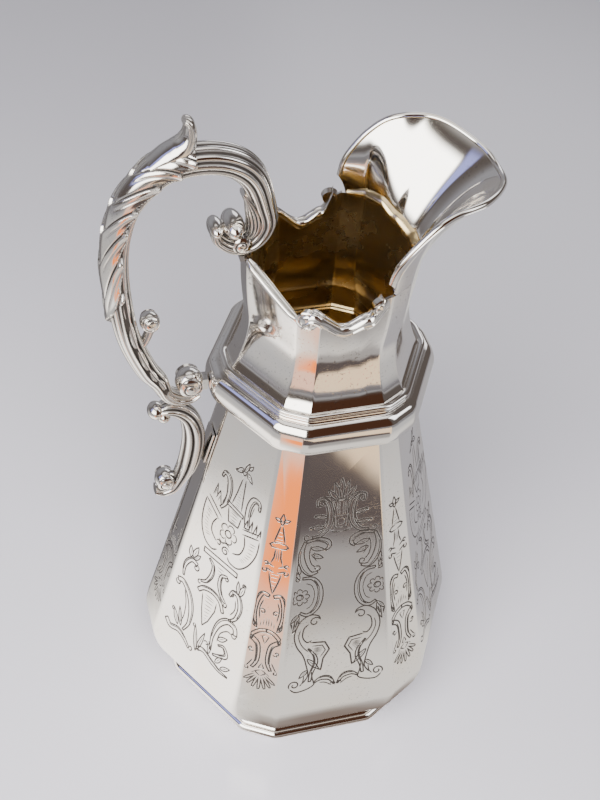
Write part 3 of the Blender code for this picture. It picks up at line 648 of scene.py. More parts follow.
def trophy():
    """The pierced urn between scrolls and horns of plenty on the other wide panels."""
    out = []
    out += petal((1.4, 130.0), (2.6, 134.6), 0.7) + petal((1.0, 131.0), (-2.4, 128.2), 0.9)
    out += petal((2.4, 130.4), (5.6, 127.6), 0.9) + petal((3.0, 132.0), (4.4, 134.4), 0.6)
    out += swirl(1.4, 129.6, 1.5, 90, 1.0) + swirl(-2.2, 128.4, 0.9, 30, 0.9)
    out += [([(1.3, 127.6), (0.3, 120.5), (-0.9, 114.4)], 1.0),
            ([(2.7, 127.6), (3.4, 120.0), (4.0, 114.0)], 1.0)]
    out += hatch([(1.5, 124.0), (0.6, 119.0), (0.2, 114.8)], [(2.6, 124.0), (3.0, 119.0), (3.4, 114.6)], 11)
    out += [([(-2.9, 114.6), (5.3, 113.2), (5.5, 111.8), (-2.6, 113.0), (-2.9, 114.6)], 1.0)]
    out += [([(-1.9, 112.6), (-0.5, 106.6), (4.3, 106.8), (4.8, 111.8)], 1.0)]
    out += hatch([(-1.2, 111.8), (-0.4, 107.2)], [(4.4, 111.4), (3.9, 107.4)], 9)
    out += ribbon([(-7.6, 122.0), (-6.8, 124.3), (-4.2, 122.9), (-3.0, 118.0), (-3.6, 112.6), (-5.4, 109.4)],
                  0.4, 1.15, 0.5) + swirl(-7.2, 122.7, 1.1, 60, 1.0)
    out += ribbon([(11.4, 119.8), (10.8, 122.4), (8.2, 122.4), (6.9, 118.6), (7.2, 113.2), (8.2, 109.4)],
                  0.5, 1.15, 1.1) + swirl(11.0, 120.4, 1.2, 120, -1.0)
    out += curve([(-4.9, 120.8), (-4.1, 116.4), (-5.2, 111.2)], 0.7)
    out += curve([(9.1, 120.2), (8.4, 114.2)], 0.7)
    out += [([(-11.7, 111.4), (-3.4, 105.6)], 1.0), ([(-12.7, 109.6), (-4.4, 103.9)], 1.0)]
    out += [([(-9.8, 112.2), (-8.7, 118.0), (-7.8, 112.2)], 0.9),
            ([(-8.4, 111.6), (-7.0, 116.0), (-5.2, 109.8)], 0.9),
            ([(-9.2, 112.4), (-8.7, 116.2)], 0.6), ([(-7.2, 110.8), (-6.6, 114.4)], 0.6)]
    out += curve([(-12.3, 109.4), (-12.6, 103.0), (-11.6, 96.6), (-8.8, 91.9), (-4.9, 90.3), (-2.3, 91.8)])
    out += curve([(-5.4, 104.4), (-7.0, 101.0), (-6.6, 97.4), (-3.4, 94.6)])
    out += hatch([(-12.0, 106.0), (-11.6, 100.0), (-9.8, 94.6)],
                 [(-7.6, 104.4), (-8.4, 99.2), (-6.4, 95.2)], 12)
    out += [([(6.2, 107.9), (15.0, 110.9)], 1.0), ([(6.7, 105.9), (15.7, 108.9)], 1.0)]
    for x in (7.2, 9.4, 11.6, 13.8):
        out += [([(x - 0.7, 108.4), (x + 0.5, 114.6 - abs(x - 10.5) * 0.4), (x + 1.0, 109.6)], 0.9)]
    out += curve([(14.9, 108.4), (14.9, 102.0), (12.6, 95.4), (8.8, 91.0), (4.6, 90.6), (2.8, 92.4)])
    out += curve([(8.0, 106.0), (9.0, 101.6), (7.8, 97.2), (4.6, 95.2)])
    out += hatch([(14.6, 105.6), (13.6, 99.6), (10.8, 94.6)], [(10.2, 104.6), (10.0, 99.0), (7.8, 95.6)], 12)
    out += flower(0.9, 101.4, 4.2, 5) + swirl(1.4, 93.6, 2.0, 20, 1.5) + swirl(-2.4, 95.0, 1.3, 170, -1.2)
    out += curve([(-2.8, 97.2), (-1.0, 96.0), (0.8, 97.0), (3.2, 96.4)])
    out += [([(-8.0, 88.8), (9.2, 88.9), (9.4, 86.9), (-7.9, 86.7), (-8.0, 88.8)], 1.0)]
    out += ribbon([(-4.4, 85.6), (-2.0, 83.6), (-1.7, 79.6), (-3.4, 75.2), (-6.0, 73.4)], 0.4, 0.85, 0.4)
    out += ribbon([(5.3, 83.8), (2.8, 82.4), (2.7, 78.2), (4.6, 74.4), (7.0, 72.6)], 0.5, 0.85, 0.5)
    out += swirl(5.2, 82.8, 1.2, 100, -1.0)
    out += swirl(7.2, 71.6, 1.3, 100, -1.1)
    out += swirl(-6.4, 72.4, 1.2, 70, 1.0)
    out += hatch([(-1.0, 85.8), (0.6, 81.0), (1.2, 78.0)], [(4.4, 85.8), (2.4, 81.4), (1.8, 78.2)], 7)
    out += ribbon([(-6.2, 68.8), (-3.6, 71.6), (0.8, 72.8), (4.8, 71.4), (7.2, 67.6)], 0.8, 0.95, 0.7)
    out += [([(-3.9, 69.2), (-2.6, 62.0), (-0.6, 54.8), (1.6, 58.6), (3.6, 65.2), (3.6, 69.6)], 1.0)]
    out += hatch([(-3.4, 69.4), (-2.2, 63.0), (-0.8, 57.6)], [(3.2, 69.4), (2.8, 64.0), (0.8, 58.2)], 16)
    out += ribbon([(-16.6, 66.0), (-13.6, 66.6), (-9.6, 62.9), (-7.2, 57.0), (-7.0, 50.2), (-9.0, 45.2)],
                  0.9, 1.25, 0.4) + swirl(-16.0, 64.8, 1.6, 120, 1.0)
    out += curve([(-12.4, 64.0), (-10.4, 58.4), (-10.0, 52.0), (-11.0, 47.6)], 0.9)
    out += ribbon([(-14.6, 69.4), (-14.9, 74.4), (-12.6, 78.6), (-9.2, 78.4)], 0.4, 0.95, 0.7)
    out += swirl(-9.4, 76.9, 1.6, 90, -1.3) + petal((-13.0, 79.6), (-14.2, 84.6), 1.0)
    out += petal((-12.0, 80.2), (-10.4, 86.2), 1.1) + petal((-11.2, 79.8), (-8.6, 83.2), 0.8)
    out += ribbon([(-18.0, 44.6), (-15.4, 42.4), (-11.2, 43.6), (-7.6, 42.2), (-4.2, 39.4)], 0.9, 1.1, 0.5)
    out += petal((-12.0, 45.6), (-15.4, 52.2), 1.0) + petal((-10.4, 46.2), (-12.8, 54.6), 0.8)
    out += swirl(-15.4, 51.6, 1.1, 300, -1.0) + swirl(-3.4, 40.2, 1.3, 240, 1.1)
    out += petal((-0.8, 41.0), (-3.6, 53.0), 0.9) + petal((-0.4, 42.0), (1.8, 52.6), 0.9)
    out += swirl(-3.8, 52.0, 1.0, 90, 0.9) + swirl(3.4, 48.6, 1.2, 200, -1.1)
    out += ribbon([(8.4, 77.4), (9.6, 80.2), (12.6, 79.8), (14.4, 75.2), (13.4, 69.8), (10.8, 66.8)],
                  0.5, 1.1, 0.4)
    out += curve([(11.4, 77.6), (12.2, 73.4), (10.6, 69.4)], 0.9) + petal((12.6, 80.6), (14.0, 86.8), 1.0)
    out += petal((11.8, 80.8), (10.6, 86.4), 0.9)
    out += swirl(13.6, 86.0, 1.2, 0, 1.1)
    out += swirl(9.2, 78.6, 1.2, 120, -1.0)
    out += ribbon([(6.0, 47.6), (5.4, 54.4), (6.9, 61.6), (10.4, 66.0), (14.2, 65.8), (15.4, 62.8)],
                  0.4, 1.25, 0.9)
    out += curve([(8.0, 53.4), (8.6, 58.2), (11.6, 61.8), (14.0, 61.6)], 0.9)
    out += swirl(14.6, 62.2, 1.5, 40, -1.2)
    out += petal((8.0, 54.6), (12.6, 58.4), 1.0)
    out += ribbon([(7.6, 46.4), (11.0, 48.2), (13.8, 50.6), (11.8, 53.6), (9.0, 52.4)], 0.4, 0.9, 0.3)
    out += ribbon([(0.4, 43.6), (3.4, 44.4), (7.8, 42.8), (12.6, 41.6), (16.8, 41.8)], 0.9, 0.9, 0.3)
    out += petal((9.6, 43.8), (12.4, 48.6), 0.9) + petal((12.6, 43.0), (17.2, 46.4), 0.9)
    out += swirl(0.6, 43.0, 1.3, 60, 1.0) + petal((5.6, 45.0), (5.0, 50.4), 0.8)
    return out


def candelabrum(low):
    """The slender ornament of the narrow panels, or its lower part alone when low is true."""
    half = []
    half += petal((0, 118.4), (0, 123.2), 0.8, False) + petal((0.3, 119.8), (2.7, 121.0), 0.6, False)
    half += [([(0.4, 118.2), (0.6, 117.0), (2.0, 110.8)], 1.0)]
    half += hatch([(-0.5, 116.4), (-1.6, 111.4)], [(0.5, 116.4), (1.6, 111.4)], 7)
    half += [([(0, 110.9), (2.2, 110.7), (3.4, 109.8), (2.4, 108.8), (0, 108.5)], 1.0)]
    half += [([(1.0, 108.4), (1.2, 104.6), (2.2, 101.6)], 1.0), ([(0.3, 108.0), (0.4, 103.0)], 0.6)]
    half += curve([(0.8, 100.4), (2.8, 101.4), (4.2, 100.4)]) + swirl(3.6, 101.4, 1.0, 0, 1.1)
    half += swirl(3.7, 98.6, 1.1, 60, -1.1) + curve([(0.6, 98.0), (2.2, 98.8), (3.8, 99.6)])
    half += [([(2.3, 98.0), (1.5, 94.0), (0, 88.6)], 1.0)]
    half += hatch([(-1.8, 97.2), (-1.2, 94.0), (-0.4, 91.0)], [(1.8, 97.2), (1.2, 94.0), (0.4, 91.0)], 8)
    half += ribbon([(0.9, 87.4), (3.4, 88.0), (5.0, 84.0), (5.2, 78.6), (4.2, 73.4)], 0.7, 0.85, 0.4)
    half += curve([(2.6, 85.4), (3.6, 81.6), (3.2, 76.6)], 0.9) + swirl(2.4, 80.2, 1.2, 20, 1.2)
    half += [([(0.4, 77.6), (0.4, 73.4)], 0.7), ([(1.4, 77.0), (1.5, 73.6)], 0.7),
             ([(2.4, 75.8), (2.6, 73.0)], 0.7)]
    half += petal((3.8, 72.2), (5.9, 75.6), 0.6, False)
    half += ribbon([(0, 71.8), (3.0, 70.9), (5.6, 68.4)], 0.7, 0.7, 0.7, False)
    half += swirl(5.3, 67.6, 1.2, 60, -1.1)
    half += ribbon([(5.0, 67.4), (2.6, 65.0), (1.9, 60.4), (2.2, 56.4), (3.6, 53.6)], 0.9, 0.75, 0.5)
    half += [([(0, 69.2), (1.3, 69.0), (0, 65.6)], 0.8)] + curve([(3.4, 61.6), (4.9, 60.8), (5.2, 62.6)], 0.9)
    half += swirl(4.9, 62.2, 0.9, 300, 1.0) + curve([(3.6, 57.4), (5.0, 54.8), (6.0, 53.4)], 0.9)
    half += swirl(5.4, 53.0, 1.1, 60, -1.1) + [([(0, 56.4), (1.1, 53.8), (0, 53.8)], 0.9)]
    half += [([(0, 53.2), (2.2, 52.0), (0, 50.2)], 0.9), ([(2.2, 52.0), (3.6, 50.8)], 0.9)]
    strokes = mirrored(half) + fan(0, 52.0, 8.6, 218, 322, 7, 1.05, 0.3)
    if low:
        strokes = [stroke for stroke in strokes if max(y for x, y in stroke[0]) < 88.4]
    return strokes


class Panel:
    """One flat face of the body, addressed by millimetres across it and up it."""

    def __init__(self, azimuth, wide):
        self.wide = wide
        turn = radians(azimuth)
        ratio = 1.0 if wide else NARROW_RATIO
        self.ratio = ratio
        self.out = Vector((cos(turn), sin(turn), 0))
        self.across = Vector((-sin(turn), cos(turn), 0))
        self.inward = -(self.out + Vector((0, 0, TAPER * ratio))).normalized()

    def half(self, z):
        return face_half(BODY_WIDE - TAPER * (z - BODY_WIDE_Z), self.wide)

    def point(self, s, z, depth=0.0):
        apothem = (BODY_WIDE - TAPER * (z - BODY_WIDE_Z)) * self.ratio
        place = self.out * apothem + self.across * s + self.inward * depth
        return spot(place.x, place.y, z + self.inward.z * depth)


def resample(points, step):
    """Points about a step apart along a line, its corners kept."""
    line = [points[0]]
    for start, end in zip(points, points[1:]):
        size = hypot(end[0] - start[0], end[1] - start[1])
        count = max(int(ceil(size / step)), 1)
        for i in range(1, count + 1):
            t = i / count
            line.append((start[0] + (end[0] - start[0]) * t, start[1] + (end[1] - start[1]) * t))
    return line


def engrave(panel, strokes, corners, line_half, line_depth):
    """Cuts V-shaped lines into a flat panel; returns points, depth shares and triangles."""
    verts = [Vector(c) for c in corners]
    edges = [(i, (i + 1) % len(corners)) for i in range(len(corners))]
    samples, tips = [], []
    for points, width in strokes:
        coarse = []
        for p in points:
            limit = panel.half(p[1]) - 1.5
            coarse.append((max(min(p[0], limit), -limit), p[1]))
        closed = hypot(coarse[0][0] - coarse[-1][0], coarse[0][1] - coarse[-1][1]) < 0.01
        line = [coarse[0]]
        for p in resample(coarse, 0.9)[1:]:
            if hypot(p[0] - line[-1][0], p[1] - line[-1][1]) > 0.3:
                line.append(p)
        if len(line) < 3:
            continue
        last = len(line) - 1
        if not closed:
            tips += [line[0], line[-1]]
        halves = []
        for i in range(len(line)):
            end = 1.0 if closed else min(1.0, 0.3 + i / 3, 0.3 + (last - i) / 3)
            halves.append(line_half * width * end)
        left = offset_line(line, halves)
        right = offset_line(line, [-h for h in halves])
        start = len(verts)
        for row in (left, line, right):
            base = len(verts)
            verts += [Vector(p) for p in row]
            edges += [(base + i, base + i + 1) for i in range(last)]
        edges += [(start, start + last + 1), (start + last + 1, start + 2 * last + 2),
                  (start + last, start + 2 * last + 1), (start + 2 * last + 1, start + 3 * last + 2)]
        for i in range(last):
            for k in range(8):
                t = k / 8
                samples.append((line[i][0] + (line[i + 1][0] - line[i][0]) * t,
                                line[i][1] + (line[i + 1][1] - line[i][1]) * t,
                                halves[i] + (halves[i + 1] - halves[i]) * t))
        samples.append((line[-1][0], line[-1][1], halves[-1]))
    tree = KDTree(len(samples))
    for i, (x, y, half) in enumerate(samples):
        tree.insert((x, y, 0), i)
    tree.balance()
    result = delaunay_2d_cdt(verts, edges, [], 0, 0.004)
    points, shares = [], []
    for vert in result[0]:
        index, distance = tree.find((vert.x, vert.y, 0))[1:]
        share = max(0.0, 1 - distance / samples[index][2]) * samples[index][2] / line_half
        if share < 0.06 or min(hypot(vert.x - x, vert.y - y) for x, y in tips) < 0.03:
            share = 0.0
        points.append(panel.point(vert.x, vert.y, share * line_depth))
        shares.append(share)
    return points, shares, [tuple(face) for face in result[2]]


# --- Vessel ---------------------------------------------------------------------------------------
def gild_inside(piece):
    """Gives the second metal to the faces that look at the axis."""
    for polygon in piece.data.polygons:
        centre, normal = polygon.center, polygon.normal
        inward = (centre.x - AXIS_X) * normal.x + centre.y * normal.y
        if inward < -0.15 * hypot(centre.x - AXIS_X, centre.y):
            polygon.material_index = 1


def foot_profile():
    crease = 47.8 - 0.65 * 2.6
    return crease, [
        (crease, 3.9), (crease - 0.35, 4.5), (crease - 1.5, 5.5), (crease - 2.9, 6.9), (43.0, 7.9),
        (42.2, 8.8), (41.2, 8.8), (41.4, 7.9), (42.4, 6.0), (crease - 2.4, 4.6), (crease - 1.4, 3.9),
        (crease, 3.9)]


def build_foot():
    """The foot's sloping band and the moulding round its edge."""
    crease, band = foot_profile()
    piece = twelve_sided("foot_ring", band, 1.6)
    finish_turned(piece, "foot_ring", 30)
    edge = [(45.2, 0.0), (46.9, 0.0), (47.5, 0.25), (47.8, 0.8), (47.8, 1.9), (47.5, 2.7), (46.9, 3.25),
            (crease - 0.1, 3.55), (45.2, 3.6), (45.2, 0.0)]
    piece = twelve_sided("foot_edge_moulding", edge, 1.4)
    finish_turned(piece, "foot_edge_moulding", 30)


def build_body():
    """The tapered shell: rounded underneath, engraved on its twelve faces, gilded inside."""
    sizes = bpy.context.scene.pitcher_sizes
    bottom = 8.8 + SEAM
    outer = []
    for step in range(10):
        turn = radians(80) * step / 9
        outer.append((BODY_FOOT + (BODY_WIDE - BODY_FOOT) * sin(turn),
                      BODY_WIDE_Z - (BODY_WIDE_Z - bottom) * cos(turn)))
    outer += [(BODY_WIDE - 0.02, 31.6), (BODY_WIDE - 0.12, 33.4)]
    for z in (35.2, 36.6, PANEL_LOW_Z):
        outer.append((BODY_WIDE - TAPER * (z - BODY_WIDE_Z) - max(0.0, 36.6 - z) * 0.06, z))
    top = BODY_WIDE - TAPER * (BODY_END_Z - BODY_WIDE_Z)
    inner = [(a - WALL, z + (WALL if z < BODY_WIDE_Z else 0)) for a, z in outer][1:]
    sections = outer + [(BODY_TOP, BODY_TOP_Z), (top, BODY_END_Z), (top - WALL, BODY_END_Z)]
    sections += inner[::-1] + [(BODY_FOOT - WALL, bottom), (BODY_FOOT, bottom)]
    piece = twelve_sided("body_shell", sections, sizes.corner_radius / MM)
    mesh_data = bmesh.new()
    mesh_data.from_mesh(piece.data)
    layer = mesh_data.verts.layers.float.new("recess")
    designs = {270: cartouche(), 90: cartouche(), 180: candelabrum(True)}
    for azimuth in range(0, 360, 30):
        wide = azimuth % 60 == 30
        panel = Panel(azimuth, wide)
        strokes = designs.get(azimuth) or (trophy() if wide else candelabrum(False))
        tall = []
        for candidate in mesh_data.faces:
            heights = [v.co.z / MM for v in candidate.verts]
            if (min(heights) < PANEL_LOW_Z + 0.5 and max(heights) > BODY_TOP_Z - 0.5
                    and max(heights) < BODY_TOP_Z + 0.5 and candidate.normal.dot(panel.out) > 0.95):
                tall.append(candidate)
        face = max(tall, key=lambda candidate: candidate.calc_area())
        corners = []
        for vert in face.verts:
            across = (vert.co - spot(0, 0, 0)).dot(panel.across) / MM
            corners.append((across, vert.co.z / MM))
        middle = BODY_TOP_Z / 2
        corners.sort(key=lambda c: atan2(c[1] - middle, c[0]))
        bmesh.ops.delete(mesh_data, geom=[face], context="FACES_ONLY")
        points, shares, triangles = engrave(panel, strokes, corners, sizes.line_width / MM,
                                            sizes.line_depth / MM)
        new = []
        for point, share in zip(points, shares):
            vert = mesh_data.verts.new(point)
            vert[layer] = share
            new.append(vert)
        for triangle in triangles:
            made = mesh_data.faces.new([new[i] for i in triangle])
            made.normal_update()
            if made.normal.dot(panel.out) < 0:
                made.normal_flip()
            for edge in made.edges:
                edge.smooth = False
    bmesh.ops.remove_doubles(mesh_data, verts=mesh_data.verts, dist=2e-6)
    mesh_data.to_mesh(piece.data)
    mesh_data.free()
    piece.data.update()
    finish_piece(piece, ["polished_silver", "gilding"], ["body_shell"], 20, 100 * MM)
    gild_inside(piece)


def build_belt():
    """The half-round belt between two fillets, and the bead above it."""
    middle = (BELT_LOW_Z + BELT_HIGH_Z) / 2
    arc = [(BELT_IN - 0.2, BELT_LOW_Z), (BELT_IN + 1.1, BELT_LOW_Z), (BELT_IN + 1.5, BELT_LOW_Z + 0.4),
           (BELT_IN + 1.5, BELT_LOW_Z + 1.1), (BELT_IN + 1.1, BELT_LOW_Z + 1.4)]
    for step in range(1, 18):
        turn = -pi / 2 + pi * step / 18
        arc.append((BELT_IN + 1.1 + 4.5 * cos(turn) ** 0.8, middle + 6.6 * sin(turn)))
    arc += [(BELT_IN + 1.1, BELT_HIGH_Z - 1.4), (BELT_IN + 1.5, BELT_HIGH_Z - 1.1),
            (BELT_IN + 1.5, BELT_HIGH_Z - 0.4), (BELT_IN + 1.1, BELT_HIGH_Z), (BELT_IN - 0.9, BELT_HIGH_Z),
            (BELT_IN - 0.2, BELT_LOW_Z)]
    piece = twelve_sided("belt_moulding", arc, 1.8, 4)
    finish_turned(piece, "belt_moulding", 50)
    bead = []
    for side in range(13):
        turn = 2 * pi * side / 12
        bead.append((BELT_IN + 0.35 + 1.15 * cos(turn), BELT_HIGH_Z + 0.7 + 0.75 * sin(turn)))
    piece = twelve_sided("belt_bead", bead, 1.8, 4)
    finish_turned(piece, "belt_bead", 60)


def neck_columns():
    """Azimuths round the neck: close together at the corners, spread over the faces."""
    columns = []
    for face in range(12):
        middle = 30 * face
        half = CORNER if face % 2 == 0 else 30 - CORNER
        narrow, wide = (-0.86, -0.5, 0.0, 0.5, 0.86), (-0.93, -0.7, -0.35, 0.0, 0.35, 0.7, 0.93)
        for share in narrow if face % 2 == 0 else wide:
            columns.append((middle + half * share) % 360)
        columns += [(middle + half - 0.45) % 360, (middle + half + 0.45) % 360, (middle + half) % 360]
    return sorted(columns)


def soft_point(azimuth, apothem, z):
    """A point of the outline with its corners eased."""
    radius = soft_radius(azimuth, apothem)
    return Vector((radius * cos(radians(azimuth)), radius * sin(radians(azimuth)), z))


def skirt(z):
    """How far the neck's foot turns out over the belt."""
    return 0.6 * min(1.0, max(0.0, 1 - (z - BELT_HIGH_Z) / 3.5)) ** 2


def build_neck():
    """The concave neck, silver outside and gilded inside, cut along the rim line."""
    foot = BODY_END_Z + SEAM
    rings = []
    for azimuth in neck_columns():
        top = rim_height(azimuth) - 2.7
        heights = [foot, BELT_HIGH_Z] + [BELT_HIGH_Z + (top - BELT_HIGH_Z) * row / 16 for row in range(1, 17)]
        outer = [soft_point(azimuth, neck_apothem(z) + skirt(z), z) for z in heights]
        inner = [soft_point(azimuth, neck_apothem(z) - WALL, z) for z in heights]
        rings.append([spot(*p) for p in outer + inner[::-1]])
    piece = loft("neck_shell", rings, closed=True)
    finish_piece(piece, ["polished_silver", "gilding"], ["neck_shell"], 28)
    gild_inside(piece)


def rim_sweep(start, end, step, section):
    """Rings of a moulding along the rim; section gives (outwards, up, recess) at a share of it."""
    count = max(int(abs(end - start) / step), 4)
    rings, recess = [], []
    for i in range(count + 1):
        azimuth = start + (end - start) * i / count
        top = rim_height(azimuth)
        middle = neck_apothem(top - 2.4) - WALL / 2
        turn = radians(azimuth)
        out = Vector((cos(turn), sin(turn), 0))
        base = soft_point(azimuth, middle, top)
        points = section(i / count)
        rings.append([spot(*(base + out * o + Vector((0, 0, u)))) for o, u, r in points])
        recess.append([r for o, u, r in points])
    return rings, recess


def straight_section(t):
    """Outer roll, dark line, lighter inner roll."""
    fade = min(1.0, 0.55 + 4 * min(t, 1 - t))
    points = [(1.5, -2.4, 0), (1.9, -1.8, 0), (2.0, -1.0, 0), (1.75, -0.35, 0), (1.3, -0.02, 0),
              (0.75, -0.12, 0.2), (0.4, -0.55, 1.0), (0.05, -0.3, 0.2), (-0.4, -0.1, 0),
              (-0.95, -0.2, 0), (-1.4, -0.7, 0), (-1.55, -1.4, 0), (-1.3, -2.1, 0), (-0.9, -2.4, 0)]
    return [(o * fade, u, r) for o, u, r in points]


def scroll_section(t):
    """Nested rolls that widen towards both ends."""
    wide = 1.25 + 0.45 * abs(2 * t - 1) ** 3
    points = [(1.2, -2.4, 0), (1.75, -2.9, 0.3), (2.3, -2.4, 0), (2.45, -1.7, 0), (2.1, -1.2, 0.8),
              (2.0, -0.75, 0.2), (1.6, -0.15, 0), (1.1, 0.0, 0), (0.65, -0.15, 0.2), (0.35, -0.55, 1.0),
              (0.05, -0.25, 0.2), (-0.5, -0.05, 0), (-1.05, -0.25, 0), (-1.5, -0.8, 0), (-1.6, -1.5, 0),
              (-1.3, -2.2, 0), (-0.9, -2.4, 0)]
    return [(o * wide if o > 0 else o, u * 1.3, r) for o, u, r in points]


def curl_disc(centre, right, up, out, radius, thick, turns, name, hand=1):
    """The curled end of a scroll: a domed disc with a spiral groove that runs in to its eye."""
    columns, steps = 48, 16
    rings, recess = [], []
    for row in range(steps + 4):
        ring, cut = [], []
        share = min(row / steps, 1.0)
        for column in range(columns):
            turn = 2 * pi * column / columns
            phase = (share * turns - hand * turn / (2 * pi)) % 1.0
            groove = max(0.0, 1 - abs(phase - 0.5) / 0.17)
            groove = groove * ease((share - 0.22) / 0.1) * ease((1.02 - share) / 0.1)
            height = thick * (1 - share * share * 0.75) ** 0.5 + thick * 0.35 * (1 - share) - 0.5 * groove
            if row > steps:
                height -= thick * 0.55 * (row - steps)
            reach = radius * max(share, 0.02) * (1 - 0.05 * max(row - steps, 0))
            ring.append(spot(*(centre + (right * cos(turn) + up * sin(turn)) * reach + out * height)))
            cut.append(groove)
        rings.append(ring)
        recess.append(cut)
    return loft(name, rings, recess)


def side_discs(middle, flank, radius, thick, turns, hand):
    """A curl disc on each flank of the handle, at a place in its plane."""
    return [curl_disc(Vector((middle[0], side * flank, middle[1])), Vector((1, 0, 0)), Vector((0, 0, 1)),
                      Vector((0, side, 0)), radius, thick, turns, "disc", hand * side) for side in (-1, 1)]


def join(pieces, name):
    """Several objects made one."""
    activate(pieces[0])
    for piece in pieces[1:]:
        piece.select_set(True)
    bpy.ops.object.join()
    pieces[0].name = name
    pieces[0].data.name = name
    return pieces[0]


def build_rim():
    """Straight mouldings beside the handle, and scrolled ones with curled ends over the dips."""
    for name, hand in (("near", -1), ("far", 1)):
        rings, recess = rim_sweep(hand * 127.2, hand * 171.2, 0.9, straight_section)
        piece = loft("rim_moulding_" + name, rings, recess)
        finish_turned(piece, "rim_moulding_" + name, 60)
        rings, recess = rim_sweep(hand * 74.5, hand * 122.5, 0.8, scroll_section)
        parts = [loft("rim_scroll_" + name, rings, recess)]
        for azimuth, lift, radius, turns, thick, turned in (
                (120.4, -2.2, 3.5, 1.6, 1.5, 1),
                (76.2, -1.4, 2.9, 1.3, 1.3, -1),
                (82.2, -2.6, 2.3, 1.2, 1.1, -1)):
            turn = radians(hand * azimuth)
            out = Vector((cos(turn), sin(turn), 0))
            right = Vector((-sin(turn), cos(turn), 0))
            top = rim_height(azimuth)
            centre = soft_point(hand * azimuth, neck_apothem(top - 2) + 0.9, top + lift)
            up = Vector((0, 0, 1))
            parts.append(curl_disc(centre, right, up, out, radius, thick, turns, "curl", turned * hand))
        piece = join(parts, "rim_scroll_" + name)
        finish_turned(piece, "rim_scroll_" + name, 50)


def spout_grid(columns, rows):
    """The spout's middle surface as columns of points from foot to rim, and the normals there."""
    keys = []
    for azimuth, forward, sideways, rise in SPOUT_RIM:
        base = on_plan(azimuth, NECK_RIM, RIM_Z)
        keys.append((azimuth, base.x + forward, base.y + sideways, RIM_Z + rise))
    line = [k for k in smooth_line([(-a, x, -y, z) for a, x, y, z in keys[:0:-1]] + keys, 12) if k[0] >= 0]

    def rim_point(azimuth):
        where = min(abs(azimuth), line[-1][0])
        for start, end in zip(line, line[1:]):
            if where <= end[0]:
                t = (where - start[0]) / (end[0] - start[0])
                x, y, z = (a + (b - a) * t for a, b in zip(start[1:], end[1:]))
                return Vector((x, y if azimuth > 0 else -y, z))
        return Vector((line[-1][1], line[-1][2] if azimuth > 0 else -line[-1][2], line[-1][3]))

    grid = []
    for i in range(columns + 1):
        azimuth = -71 + 142 * i / columns
        below = azimuth * 0.93
        z = rim_height(below) - 2.4
        foot = soft_point(below, neck_apothem(z) - WALL / 2, z)
        rim = rim_point(azimuth)
        bend = Vector((foot.x + (rim.x - foot.x) * 0.28, foot.y + (rim.y - foot.y) * 0.28,
                       foot.z + (rim.z - foot.z) * 0.60))
        grid.append([foot * (1 - t) ** 2 + bend * 2 * t * (1 - t) + rim * t ** 2
                     for t in (j / rows for j in range(rows + 1))])
    normals = []
    for i in range(columns + 1):
        row = []
        for j in range(rows + 1):
            along = grid[min(i + 1, columns)][j] - grid[max(i - 1, 0)][j]
            upward = grid[i][min(j + 1, rows)] - grid[i][max(j - 1, 0)]
            row.append(along.cross(upward).normalized())
        normals.append(row)
    return grid, normals


def build_spout():
    """The scooped spout with a line cut under its edge, the ridge inside its foot, and the lip wire."""
    columns, rows = 120, 26
    grid, normals = spout_grid(columns, rows)
    rings, recess = [], []
    for i in range(columns + 1):
        share = abs(2 * i / columns - 1)
        outer, inner, cut = [], [], []
        rim = grid[i][rows]
        for j in range(rows + 1):
            point = grid[i][j]
            below = (point - rim).length
            line = max(0.0, 1 - abs(below - 4.2) / 0.75) * ease((share - 0.18) / 0.4)
            half = 0.65 + 0.35 * ease((4.4 - below) / 0.8) * ease((share - 0.1) / 0.4)
            outer.append(spot(*(point + normals[i][j] * (half - 0.55 * line))))
            inner.append(spot(*(point - normals[i][j] * 0.65)))
            cut.append(line)
        rings.append(outer + inner[::-1])
        recess.append(cut + [0.0] * (rows + 1))
    piece = loft("spout", rings, recess)
    finish_turned(piece, "spout", 40)
    rings = []
    for i in range(columns + 1):
        before, after = grid[max(i - 1, 0)][rows], grid[min(i + 1, columns)][rows]
        along = (after - before).normalized()
        normal = normals[i][rows]
        up = normal.cross(along).normalized()
        ring = []
        for side in range(12):
            turn = 2 * pi * side / 12
            ring.append(spot(*(grid[i][rows] - up * 0.6 + (normal * cos(turn) + up * sin(turn)) * 1.05)))
        rings.append(ring)
    piece = loft("spout_lip_wire", rings)
    finish_turned(piece, "spout_lip_wire", 60)
    rings, recess = [], []
    for i in range(columns + 1):
        azimuth = (-70 + 140 * i / columns) * 0.93
        top = rim_height(azimuth) - 2.4
        base = soft_point(azimuth, neck_apothem(top) - WALL, top)
        out = Vector((cos(radians(azimuth)), sin(radians(azimuth)), 0))
        size = 0.5 + 0.5 * ease((1 - abs(2 * i / columns - 1)) / 0.25)
        points = ((0.7, 2.6, 0), (-0.4, 2.3, 0.1), (-1.3, 1.5, 0), (-1.7, 0.4, 0), (-1.5, -0.8, 0),
                  (-0.8, -1.6, 0), (0.0, -2.0, 0.3), (0.7, -2.0, 0.0))
        rings.append([spot(*(base + out * o * size + Vector((0, 0, u * size)))) for o, u, r in points])
        recess.append([r for o, u, r in points])
    piece = loft("spout_ridge", rings, recess)
    finish_piece(piece, ["gilding"], [], 50)


# --- Handle ---------------------------------------------------------------------------------------
def polar(centre, keys):
    return [(centre[0] + r * cos(radians(a)), centre[1] + r * sin(radians(a)), d, w) for a, r, d, w in keys]


